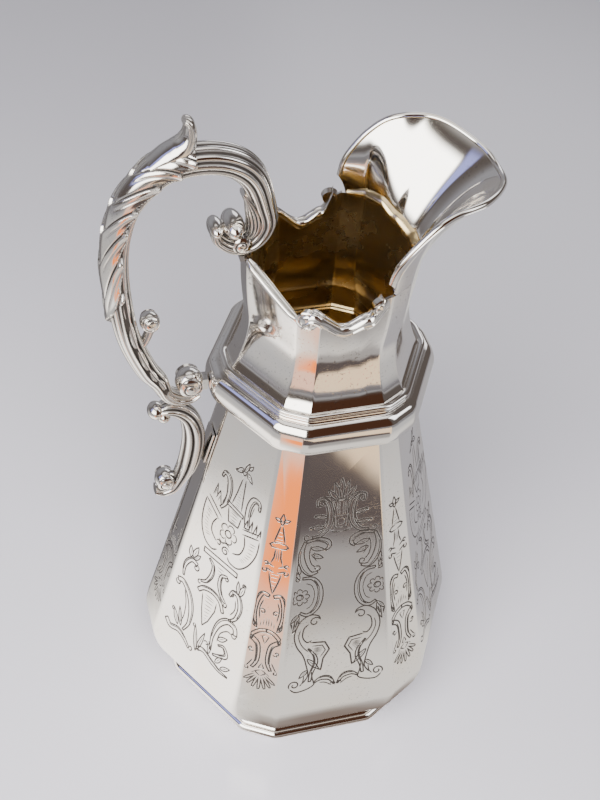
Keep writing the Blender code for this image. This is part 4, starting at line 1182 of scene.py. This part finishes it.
def handle_line(steps):
    """Centreline of the main scroll with its half depth and half width."""
    volute = polar(VOLUTE, ((-170, 6.3, 1.5, 3.0), (-135, 7.0, 2.1, 4.0), (-90, 7.8, 2.6, 4.8),
                   (-45, 8.6, 3.1, 5.2), (0, 9.6, 3.6, 5.4), (41, 11.1, 4.0, 5.4)))
    arch = [(-27.5, 239.8, 4.6, 5.5), (-33.0, 245.3, 4.9, 5.6), (-40.7, 247.7, 5.0, 5.5),
            (-49.5, 247.2, 4.9, 5.4), (-56.7, 243.7, 4.6, 5.2), (-63.8, 235.4, 4.2, 5.0),
            (-67.1, 227.2, 4.0, 4.9), (-68.9, 215.6, 4.0, 4.8), (-68.4, 200.2, 4.0, 4.7),
            (-65.8, 182.6, 3.9, 4.6), (-60.5, 167.8, 3.7, 4.5), (-56.3, 161.0, 3.2, 4.4)]
    end = polar(END_VOLUTE, ((203, 7.9, 2.5, 4.3), (240, 6.7, 1.9, 4.1), (275, 6.1, 1.45, 3.8),
                (310, 5.8, 1.1, 3.2)))
    return smooth_line(volute + arch + end, steps)


def frames_of(line):
    """Centre, inward normal, half depth and half width at each point of a line in the XZ plane."""
    frames = []
    for i, (x, z, depth, width) in enumerate(line):
        before, after = line[max(i - 1, 0)], line[min(i + 1, len(line) - 1)]
        along = Vector((after[0] - before[0], 0, after[1] - before[1])).normalized()
        frames.append((Vector((x, 0, z)), Vector((-along.z, 0, along.x)), depth, width))
    return frames


def section_point(frame_here, turn, lift):
    """A point of the bar's section: 0 is the inner side, 180 the back, +-90 the flanks."""
    centre, normal, depth, width = frame_here
    return spot(*(centre + normal * (depth + lift) * cos(turn) + Vector((0, (width + lift) * sin(turn), 0))))


def reeded_bar(name, line, reeds, strength, sides=112, marks=None):
    """A bar with rounded reeds along it; strength gives their depth at a share of the length."""
    frames = frames_of(line)
    rings, recess = [], []
    depth_mm = bpy.context.scene.pitcher_sizes.reed_depth / MM
    for i, frame_here in enumerate(frames):
        share = i / (len(frames) - 1)
        power = strength(share)
        ring, cut = [], []
        for side in range(sides):
            turn = 2 * pi * (side + 0.5) / sides
            valley = (1 - abs(sin(reeds * turn / 2)) ** 0.6) * power
            extra = marks(share, turn) if marks else 0.0
            lift = -valley * depth_mm * min(1.0, frame_here[2] / 3.2) * 1.7 - extra * 0.9
            ring.append(section_point(frame_here, turn, lift))
            cut.append(min(1.0, valley * 1.15 + extra))
        rings.append(ring)
        recess.append(cut)
    return loft(name, rings, recess)


def faded(end):
    """Reeds of full depth that run out over a share of the length at each end."""
    return lambda share: ease(share / end) * ease((1 - share) / end)


def husks(share, turn):
    """How deep the lower arm's dark channel is cut on each flank, round five slanted leaves."""
    flank = degrees(turn if turn < pi else 2 * pi - turn) - 64
    across = flank / 30
    channel = ease((1 - abs(across)) / 0.25) * ease((share - 0.655) / 0.015) * ease((0.845 - share) / 0.02)
    leaf = 0.0
    for middle in (0.675, 0.708, 0.741, 0.774, 0.807):
        along = (share - middle - 0.006 * across) / 0.0175
        if abs(along) < 1:
            half = 0.78 * (1 - along * along) ** 0.6
            leaf = max(leaf, ease((half - abs(across)) / 0.22) * (1 - 0.6 * max(0.0, 1 - abs(across) / 0.12)))
    return channel * (1 - leaf)


def ball(name, centre, radius, width):
    """A ball with its poles on Y, drawn out or flattened to its half width."""
    deselect()
    bpy.ops.mesh.primitive_uv_sphere_add(segments=48, ring_count=40, radius=radius * MM,
                                         location=spot(centre[0], 0, centre[1]), rotation=(radians(90), 0, 0))
    piece = bpy.context.object
    piece.name = name
    bpy.ops.object.transform_apply(location=True, rotation=True, scale=True)
    bpy.ops.object.mode_set(mode="EDIT")
    bpy.ops.mesh.select_all(action="SELECT")
    bpy.ops.transform.resize(value=(1, width / radius, 1), center_override=spot(centre[0], 0, centre[1]))
    bpy.ops.object.mode_set(mode="OBJECT")
    piece.data.attributes.new("recess", "FLOAT", "POINT")
    return piece


def build_handle():
    """The cast main scroll, the leaf and beads in its upper volute and the ball in its lower one."""
    def strength(share):
        return ease(share / 0.05) * ease((1 - share) / 0.04) * (0.4 + 0.6 * ease((0.72 - share) / 0.06)
                                                                 if share > 0.66 else 1.0)
    piece = reeded_bar("handle_main_scroll", handle_line(13), 10, strength, 120, husks)
    finish_cast(piece, "handle_main_scroll", 45)
    parts = [ball("volute_rosette", (VOLUTE[0] - 0.6, VOLUTE[1] - 0.2), 3.5, 6.6),
             ball("far_bead", (VOLUTE[0] - 6.0, VOLUTE[1] - 0.6), 2.5, 5.0)]
    keys = polar(VOLUTE, ((80, 11.4, 0.7, 2.2), (62, 9.0, 1.7, 3.9), (40, 7.2, 2.5, 4.9), (10, 6.0, 2.4, 5.3),
                          (-25, 5.6, 1.5, 4.6), (-50, 5.8, 0.7, 3.4)))
    parts.append(reeded_bar("inner_leaf", smooth_line(keys, 8), 12, faded(0.15), 96))
    parts += side_discs((VOLUTE[0] + 1.6, VOLUTE[1] - 5.2), 4.4, 3.0, 1.5, 1.4, -1)
    piece = join(parts, "volute_rosette")
    finish_cast(piece, "volute_rosette")
    middle = (END_VOLUTE[0] + 0.5, END_VOLUTE[1] + 1.0)
    parts = [ball("handle_end_ball", middle, 4.8, 4.9)]
    parts += side_discs(middle, 3.4, 3.9, 1.4, 1.7, -1)
    piece = join(parts, "handle_end_ball")
    finish_cast(piece, "handle_end_ball")


def leaf_lift(u, v):
    """Height of the acanthus leaf over the scroll, and its recess: u along, v around, 0 on the back."""
    side = abs(v)
    q = u * 6.4 + 2.1 * side
    part = q % 1.0
    taper = ease((1 - u) / 0.14) * (0.76 + 0.24 * ease(u / 0.10))
    border = (0.62 + 0.32 * sin(pi * min(part * 0.9 + 0.06, 1.0)) ** 0.7) * taper
    inside = ease((border - side) / 0.09)
    tip = ease(part / 0.10) * ease((1 - part) / 0.05)
    lobe = 1 - (1 - tip) * ease((side - 0.08) / 0.14)
    blade = lobe * (0.35 + 0.65 * (1 - part) ** 0.8)
    vein = max(0.0, 1 - abs(part - 0.42) / 0.09) * ease((side - 0.16) / 0.2) * ease((border - side) / 0.2)
    rib = max(0.0, 1 - side / 0.06)
    curl = ease((side - border + 0.28) / 0.24) * inside
    lift = -0.45 + inside * (0.65 + 1.15 * blade - 0.28 * vein - 0.3 * rib + 0.6 * curl * blade)
    crease = (1 - lobe) * ease((0.55 - abs((part + 0.45) % 1.0 - 0.5)) / 0.1)
    recess = max(crease * inside, vein * 0.55, rib * 0.5, (1 - inside) * ease((side - border + 0.05) / 0.05))
    return lift, recess


def build_leaf():
    """The acanthus leaf over the back of the arch, the thumb spur, and the sprig inside the arm."""
    line = handle_line(13)
    frames = frames_of(line)
    first, last = round(0.405 * (len(line) - 1)), round(0.70 * (len(line) - 1))
    across = 84
    rings, recess = [], []
    for i in range(first * 3, last * 3 + 1):
        low = min(i // 3, len(frames) - 2)
        t = i / 3 - low
        a, b = frames[low], frames[low + 1]
        here = tuple(p + (q - p) * t for p, q in zip(a, b))
        u = (i - first * 3) / ((last - first) * 3)
        outer, inner, cut = [], [], []
        for j in range(across + 1):
            v = 2 * j / across - 1
            turn = pi + radians(124) * v
            lift, dark = leaf_lift(u, v)
            outer.append(section_point(here, turn, lift))
            inner.append(section_point(here, turn, -0.9))
            cut.append(dark)
        rings.append(outer + inner[::-1])
        recess.append(cut + [0.0] * (across + 1))
    piece = loft("handle_leaf", rings, recess)
    finish_cast(piece, "handle_leaf")
    keys = [(-58.4, 247.4, 1.6, 3.6), (-54.0, 249.8, 2.9, 4.4), (-50.2, 251.4, 3.6, 4.6),
            (-47.9, 253.6, 3.1, 4.4), (-46.8, 256.4, 2.35, 4.0), (-46.7, 258.9, 1.95, 3.5),
            (-47.2, 260.5, 1.65, 3.0), (-48.4, 261.3, 1.1, 2.2)]
    piece = reeded_bar("thumb_spur", smooth_line(keys, 8), 4, lambda s: 0.5 * ease((s - 0.25) / 0.3), 64)
    finish_cast(piece, "thumb_spur")
    keys = [(-62.6, 177.0, 1.0, 1.8), (-61.0, 178.6, 1.3, 2.0), (-59.6, 181.6, 1.4, 2.1),
            (-58.7, 184.6, 1.5, 2.1)]
    parts = [reeded_bar("handle_sprig", smooth_line(keys, 6), 6, lambda s: 0.7, 48)]
    parts.append(ball("sprig_ball", (-58.8, 187.6), 3.3, 3.5))
    parts += side_discs((-58.8, 187.6), 2.3, 2.6, 1.0, 1.4, 1)
    piece = join(parts, "handle_sprig")
    finish_cast(piece, "handle_sprig")


def build_lower_scroll():
    """The lower C-scroll, its two-lobed curl and its end ball."""
    middle = 127.4
    face = -(BODY_WIDE - TAPER * (middle - BODY_WIDE_Z)) * NARROW_RATIO
    start = face - 0.8 - 0.6 - 3.7 - TAPER * 2
    offsets = ((12.6, 19.5, 1.5, 3.0), (9.4, 20.3, 2.2, 3.8), (5.6, 19.0, 2.8, 4.2),
               (2.2, 15.2, 3.3, 4.4), (0.4, 9.4, 3.9, 4.6), (0.1, 3.0, 4.1, 4.6), (1.0, -4.0, 4.0, 4.6),
               (2.5, -10.2, 3.6, 4.5), (4.9, -15.6, 2.6, 4.2), (7.4, -19.6, 1.9, 3.9),
               (10.8, -21.3, 1.5, 3.4), (13.8, -20.4, 1.1, 2.8))
    line = smooth_line([(start - o, middle + u, d, w) for o, u, d, w in offsets], 10)
    piece = reeded_bar("lower_scroll", line, 7, faded(0.1), 96)
    finish_cast(piece, "lower_scroll", 45)
    curl = (start - 13.2, middle + 19.6)
    parts = [ball("lower_scroll_curl", curl, 3.0, 3.6)]
    parts.append(ball("lobe", (curl[0] + 2.6, curl[1] - 2.9), 2.4, 3.2))
    piece = join(parts, "lower_scroll_curl")
    finish_cast(piece, "lower_scroll_curl")
    centre = (start - 10.2, middle - 15.4)
    parts = [ball("lower_scroll_ball", centre, 3.7, 4.1)]
    parts += side_discs(centre, 2.8, 3.0, 1.2, 1.6, -1)
    piece = join(parts, "lower_scroll_ball")
    finish_cast(piece, "lower_scroll_ball")


def build_joints():
    """Metals for the small blocks and the bottom plate that keep their plain shape."""
    finishes = {"base_plate": "gilding", "upper_saddle": "cast_silver", "belt_lug": "cast_silver",
                "lower_pad": "cast_silver"}
    for node, name in finishes.items():
        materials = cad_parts[node].data.materials
        if not materials:
            materials.append(metal(name))
        for index in range(len(materials)):
            materials[index] = metal(name)


# --- Stage ----------------------------------------------------------------------------------------
# Metres and degrees. The camera looks at CAMERA_AIM from CAMERA_REACH away.
CAMERA_AIM, CAMERA_REACH = (0.0157, 0.0430, 0.0966), 0.5379
CAMERA_TURN, CAMERA_TILT, CAMERA_ROLL = -18.94, 44.91, 5.52
SHEET_HALF, SHEET_STEP, SHEET_RISE, DOME_RADIUS = 0.9, 0.01, 0.0015, 1.9


def table_finish():
    stage = bpy.context.scene.pitcher_stage
    graph = Graph("table_top")
    place = graph.place()
    cloud = graph.noise(place, 9.0, 3.0)
    grain = graph.noise(place, 900.0, 2.0)
    pale = tuple(stage.table)
    shade = tuple(channel * 0.97 for channel in pale[:3]) + (1.0,)
    shader = graph.node("ShaderNodeBsdfPrincipled", values={
        "Base Color": graph.mix(cloud, pale, shade),
        "Roughness": 0.17 + grain * 0.05,
        "Normal": graph.bump(grain, 0.02, 0.0003)})
    return graph.finish(shader)


def between(value, low, high, edge):
    """1 between two limits, eased to 0 outside them."""
    return ease((value - low) / edge + 0.5) * ease((high - value) / edge + 0.5)


def toward(colour, goal, share):
    return tuple(c + (g - c) * share for c, g in zip(colour, goal))


def table_glow(x, y):
    """Light that the metal sees on the table at a place in metres."""
    x -= AXIS_X
    far = hypot(x, y)
    angle = degrees(atan2(y, x)) % 360
    # The table itself, dimmer further out.
    glow = toward((1.15, 1.10, 1.04), (0.70, 0.69, 0.70), ease((far - 0.12) / 0.25))
    glow = toward(glow, (0.30, 0.30, 0.33), ease((far - 0.45) / 0.5))
    # Bright behind the handle, dim to the spout's two sides and in front.
    glow = toward(glow, (2.9, 2.75, 2.6), between(angle, 165, 225, 22) * ease((0.27 - far) / 0.09))
    glow = toward(glow, (0.52, 0.50, 0.53), between(angle + 360 * (angle < 180), 348, 405, 14))
    glow = toward(glow, (0.22, 0.21, 0.22), between(angle, 95, 152, 14))
    glow = toward(glow, (0.48, 0.45, 0.44), between(angle, 262, 298, 8) * ease((far - 0.135) / 0.06))
    # In front, further out: a dark part and a sunlit part that meet along a slanted line.
    meeting = 290 - 91 * (far - 0.31)
    dark_part = between(angle, 243, meeting, 2.5) * ease((far - 0.235) / 0.035)
    glow = toward(glow, (0.12, 0.098, 0.097), dark_part)
    sunlit_part = between(angle, meeting, 300, 2.5) * ease((far - 0.235) / 0.03)
    glow = toward(glow, (1.5, 1.12, 0.74), sunlit_part)
    # The orange stripe with its paler border.
    glow = toward(glow, (1.6, 0.98, 0.72), between(angle, 228, 243, 6) * ease((far - 0.12) / 0.06))
    stripe = between(angle, 231, 241.5, 3) * ease((far - 0.19) / 0.06) * ease((0.42 - far) / 0.05)
    glow = toward(glow, (2.1, 0.50, 0.08), stripe)
    # The shade close under the front.
    return toward(glow, (0.28, 0.22, 0.19), between(angle, 235, 320, 10) * ease((0.078 - far) / 0.02))


# Colour, azimuths from and to, blur, heights from and to, and blur of each lit or dark part of the room.
ROOM_PARTS = (
    ((0.34, 0.34, 0.37), 60, 150, 50, 5, 50, 25),
    ((0.075, 0.032, 0.018), 258, 305, 8, 4, 60, 10),
    ((7.0, 6.9, 6.6), 197, 252, 4, 10, 54, 6),
    ((0.55, 0.60, 1.30), 174, 194, 5, 20, 60, 6),
    ((3.4, 3.4, 3.5), 318, 350, 6, 30, 62, 8),
    ((2.2, 2.2, 2.3), 40, 75, 6, 20, 40, 8),
)


def room_glow(angle, height):
    """Light that the metal sees in the room, by azimuth and height above the horizon in degrees."""
    glow = (0.115, 0.098, 0.09)
    for colour, left, right, blur, low, high, rise_blur in ROOM_PARTS:
        glow = toward(glow, colour, between(angle, left, right, blur) * between(height, low, high, rise_blur))
    glow = toward(glow, (1.6, 1.55, 1.5), ease((height - 60) / 12))
    return toward(glow, (0.62, 0.62, 0.65), ease((4 - height) / 6))


def glow_mesh(name, rows, one_sided=True):
    """A sheet through rows of (place, colour) that only the metal sees."""
    count = len(rows[0])
    verts = [tuple(place) for row in rows for place, colour in row]
    faces = [(i * count + j, i * count + j + 1, (i + 1) * count + j + 1, (i + 1) * count + j)
             for i in range(len(rows) - 1) for j in range(count - 1)]
    mesh = bpy.data.meshes.new(name)
    mesh.from_pydata(verts, [], faces)
    layer = mesh.attributes.new("glow", "FLOAT_COLOR", "POINT")
    layer.data.foreach_set("color", [c for row in rows for place, colour in row for c in (*colour, 1.0)])
    graph = Graph(name)
    colour = graph.node("ShaderNodeAttribute", {"attribute_name": "glow"})
    light = graph.node("ShaderNodeEmission", values={"Color": colour, "Strength": 1.0})
    clear = graph.node("ShaderNodeBsdfTransparent")
    back = graph.node("ShaderNodeNewGeometry", out=6)
    mesh.materials.append(graph.finish(graph.node("ShaderNodeMixShader", values={
        0: back if one_sided else 0.0, 1: light, 2: clear})))
    piece = bpy.data.objects.new(name, mesh)
    bpy.context.scene.collection.objects.link(piece)
    piece.visible_camera = False
    piece.visible_shadow = False
    piece.visible_diffuse = False


def area_light(name, place, target, size, power, colour):
    """A soft rectangular light that the metal doesn't mirror."""
    light = bpy.data.lights.new(name, "AREA")
    light.shape = "RECTANGLE"
    light.size, light.size_y = size
    light.energy = power
    light.color = colour
    lamp = bpy.data.objects.new(name, light)
    bpy.context.scene.collection.objects.link(lamp)
    lamp.location = place
    lamp.visible_glossy = False
    lamp.rotation_euler = (Vector(target) - Vector(place)).to_track_quat("-Z", "Y").to_euler()


def add_table():
    deselect()
    bpy.ops.mesh.primitive_plane_add(size=6, location=(0, 1.2, 0))
    table = bpy.context.object
    table.name = "table_top"
    bpy.ops.object.transform_apply(location=True, rotation=True, scale=True)
    bpy.ops.object.mode_set(mode="EDIT")
    bpy.ops.mesh.select_all(action="SELECT")
    bpy.ops.mesh.subdivide(number_cuts=3)
    bpy.ops.object.mode_set(mode="OBJECT")
    table.data.materials.append(table_finish())


def add_lights(power):
    area_light("window_light", (-0.22, -0.42, 0.62), (-0.03, -0.02, 0.0), (0.7, 0.5), power,
               (1.0, 0.99, 1.0))
    area_light("room_light", (-0.9, 0.9, 1.3), (0, 0.3, 0.0), (1.4, 1.2), power * 0.28,
               (0.97, 0.98, 1.0))
    world = bpy.data.worlds.new("studio_world")
    world.use_nodes = True
    background = world.node_tree.nodes["Background"]
    background.inputs["Color"].default_value = (0.62, 0.62, 0.68, 1)
    background.inputs["Strength"].default_value = 0.22
    bpy.context.scene.world = world


def add_glow():
    """The sheet just over the table and the dome round it, both seen by the metal alone."""
    places = [-SHEET_HALF + SHEET_STEP * i for i in range(181)]
    glow_mesh("table_glow", [[((x, y, SHEET_RISE), table_glow(x, y)) for x in places] for y in places])
    rows = []
    for i in range(49):
        height = -4 + 94 * i / 48
        level = cos(radians(height))
        row = []
        for angle in range(0, 361, 2):
            turn = radians(angle)
            place = Vector((cos(turn) * level, sin(turn) * level, sin(radians(height)))) * DOME_RADIUS
            row.append((place, room_glow(angle % 360, height)))
        rows.append(row)
    glow_mesh("room_glow", rows, False)


def add_camera(lens):
    turn, tilt, roll = radians(CAMERA_TURN), radians(CAMERA_TILT), radians(CAMERA_ROLL)
    back = Vector((sin(turn) * cos(tilt), -cos(turn) * cos(tilt), sin(tilt)))
    level = Vector((0, 0, 1)).cross(back).normalized()
    right = level * cos(roll) + back.cross(level) * sin(roll)
    camera_data = bpy.data.cameras.new("pitcher_camera")
    camera_data.lens = lens
    camera_data.sensor_width = 36.0
    camera = bpy.data.objects.new("pitcher_camera", camera_data)
    bpy.context.scene.collection.objects.link(camera)
    camera.location = Vector(CAMERA_AIM) + back * CAMERA_REACH
    camera.rotation_euler = Matrix((right, back.cross(right), back)).transposed().to_euler()
    bpy.context.scene.camera = camera


def build_stage():
    """The table, the soft lights, the cards that the silver mirrors, and the camera."""
    stage = bpy.context.scene.pitcher_stage
    add_table()
    add_lights(stage.key_power)
    add_glow()
    add_camera(stage.lens)


# --- Operators, panel and run ---------------------------------------------------------------------
def operator_class(idname, label, doc, build):
    """An operator that runs one builder."""
    def execute(self, context):
        build()
        return {"FINISHED"}
    name = "PITCHER_OT_" + idname.split(".")[1]
    return type(name, (bpy.types.Operator,), {
        "bl_idname": idname, "bl_label": label, "__doc__": doc, "bl_options": {"REGISTER", "UNDO"},
        "execute": execute})


OPERATORS = [operator_class("pitcher." + name, label, build.__doc__, build) for name, label, build in (
    ("foot", "Foot", build_foot),
    ("body", "Body", build_body),
    ("belt", "Belt", build_belt),
    ("neck", "Neck", build_neck),
    ("rim", "Rim", build_rim),
    ("spout", "Spout", build_spout),
    ("handle", "Handle", build_handle),
    ("leaf", "Leaf", build_leaf),
    ("lower_scroll", "Lower scroll", build_lower_scroll),
    ("joints", "Joints", build_joints),
    ("stage", "Stage", build_stage),
)]


class PITCHER_PT_pieces(bpy.types.Panel):
    """Lists the pitcher's pieces."""
    bl_idname = "PITCHER_PT_pieces"
    bl_label = "Silver Pitcher"
    bl_space_type = "VIEW_3D"
    bl_region_type = "UI"
    bl_category = "Pitcher"

    def draw(self, context):
        for operator in OPERATORS:
            self.layout.operator(operator.bl_idname)
        scene = context.scene
        for group in (scene.pitcher_finish, scene.pitcher_sizes, scene.pitcher_stage):
            for name in type(group).__annotations__:
                self.layout.prop(group, name)


CLASSES = [PitcherFinish, PitcherSizes, PitcherStage] + OPERATORS + [PITCHER_PT_pieces]


def register():
    for kind in CLASSES:
        bpy.utils.register_class(kind)
    bpy.types.Scene.pitcher_finish = PointerProperty(type=PitcherFinish)
    bpy.types.Scene.pitcher_sizes = PointerProperty(type=PitcherSizes)
    bpy.types.Scene.pitcher_stage = PointerProperty(type=PitcherStage)


def unregister():
    del bpy.types.Scene.pitcher_stage
    del bpy.types.Scene.pitcher_sizes
    del bpy.types.Scene.pitcher_finish
    for kind in reversed(CLASSES):
        bpy.utils.unregister_class(kind)


def main():
    """Registers the classes, builds every piece in order and writes the sizes."""
    register()
    bpy.ops.pitcher.foot()
    bpy.ops.pitcher.body()
    bpy.ops.pitcher.belt()
    bpy.ops.pitcher.neck()
    bpy.ops.pitcher.rim()
    bpy.ops.pitcher.spout()
    bpy.ops.pitcher.handle()
    bpy.ops.pitcher.leaf()
    bpy.ops.pitcher.lower_scroll()
    bpy.ops.pitcher.joints()
    bpy.ops.pitcher.stage()


if __name__ == "__main__":
    main()
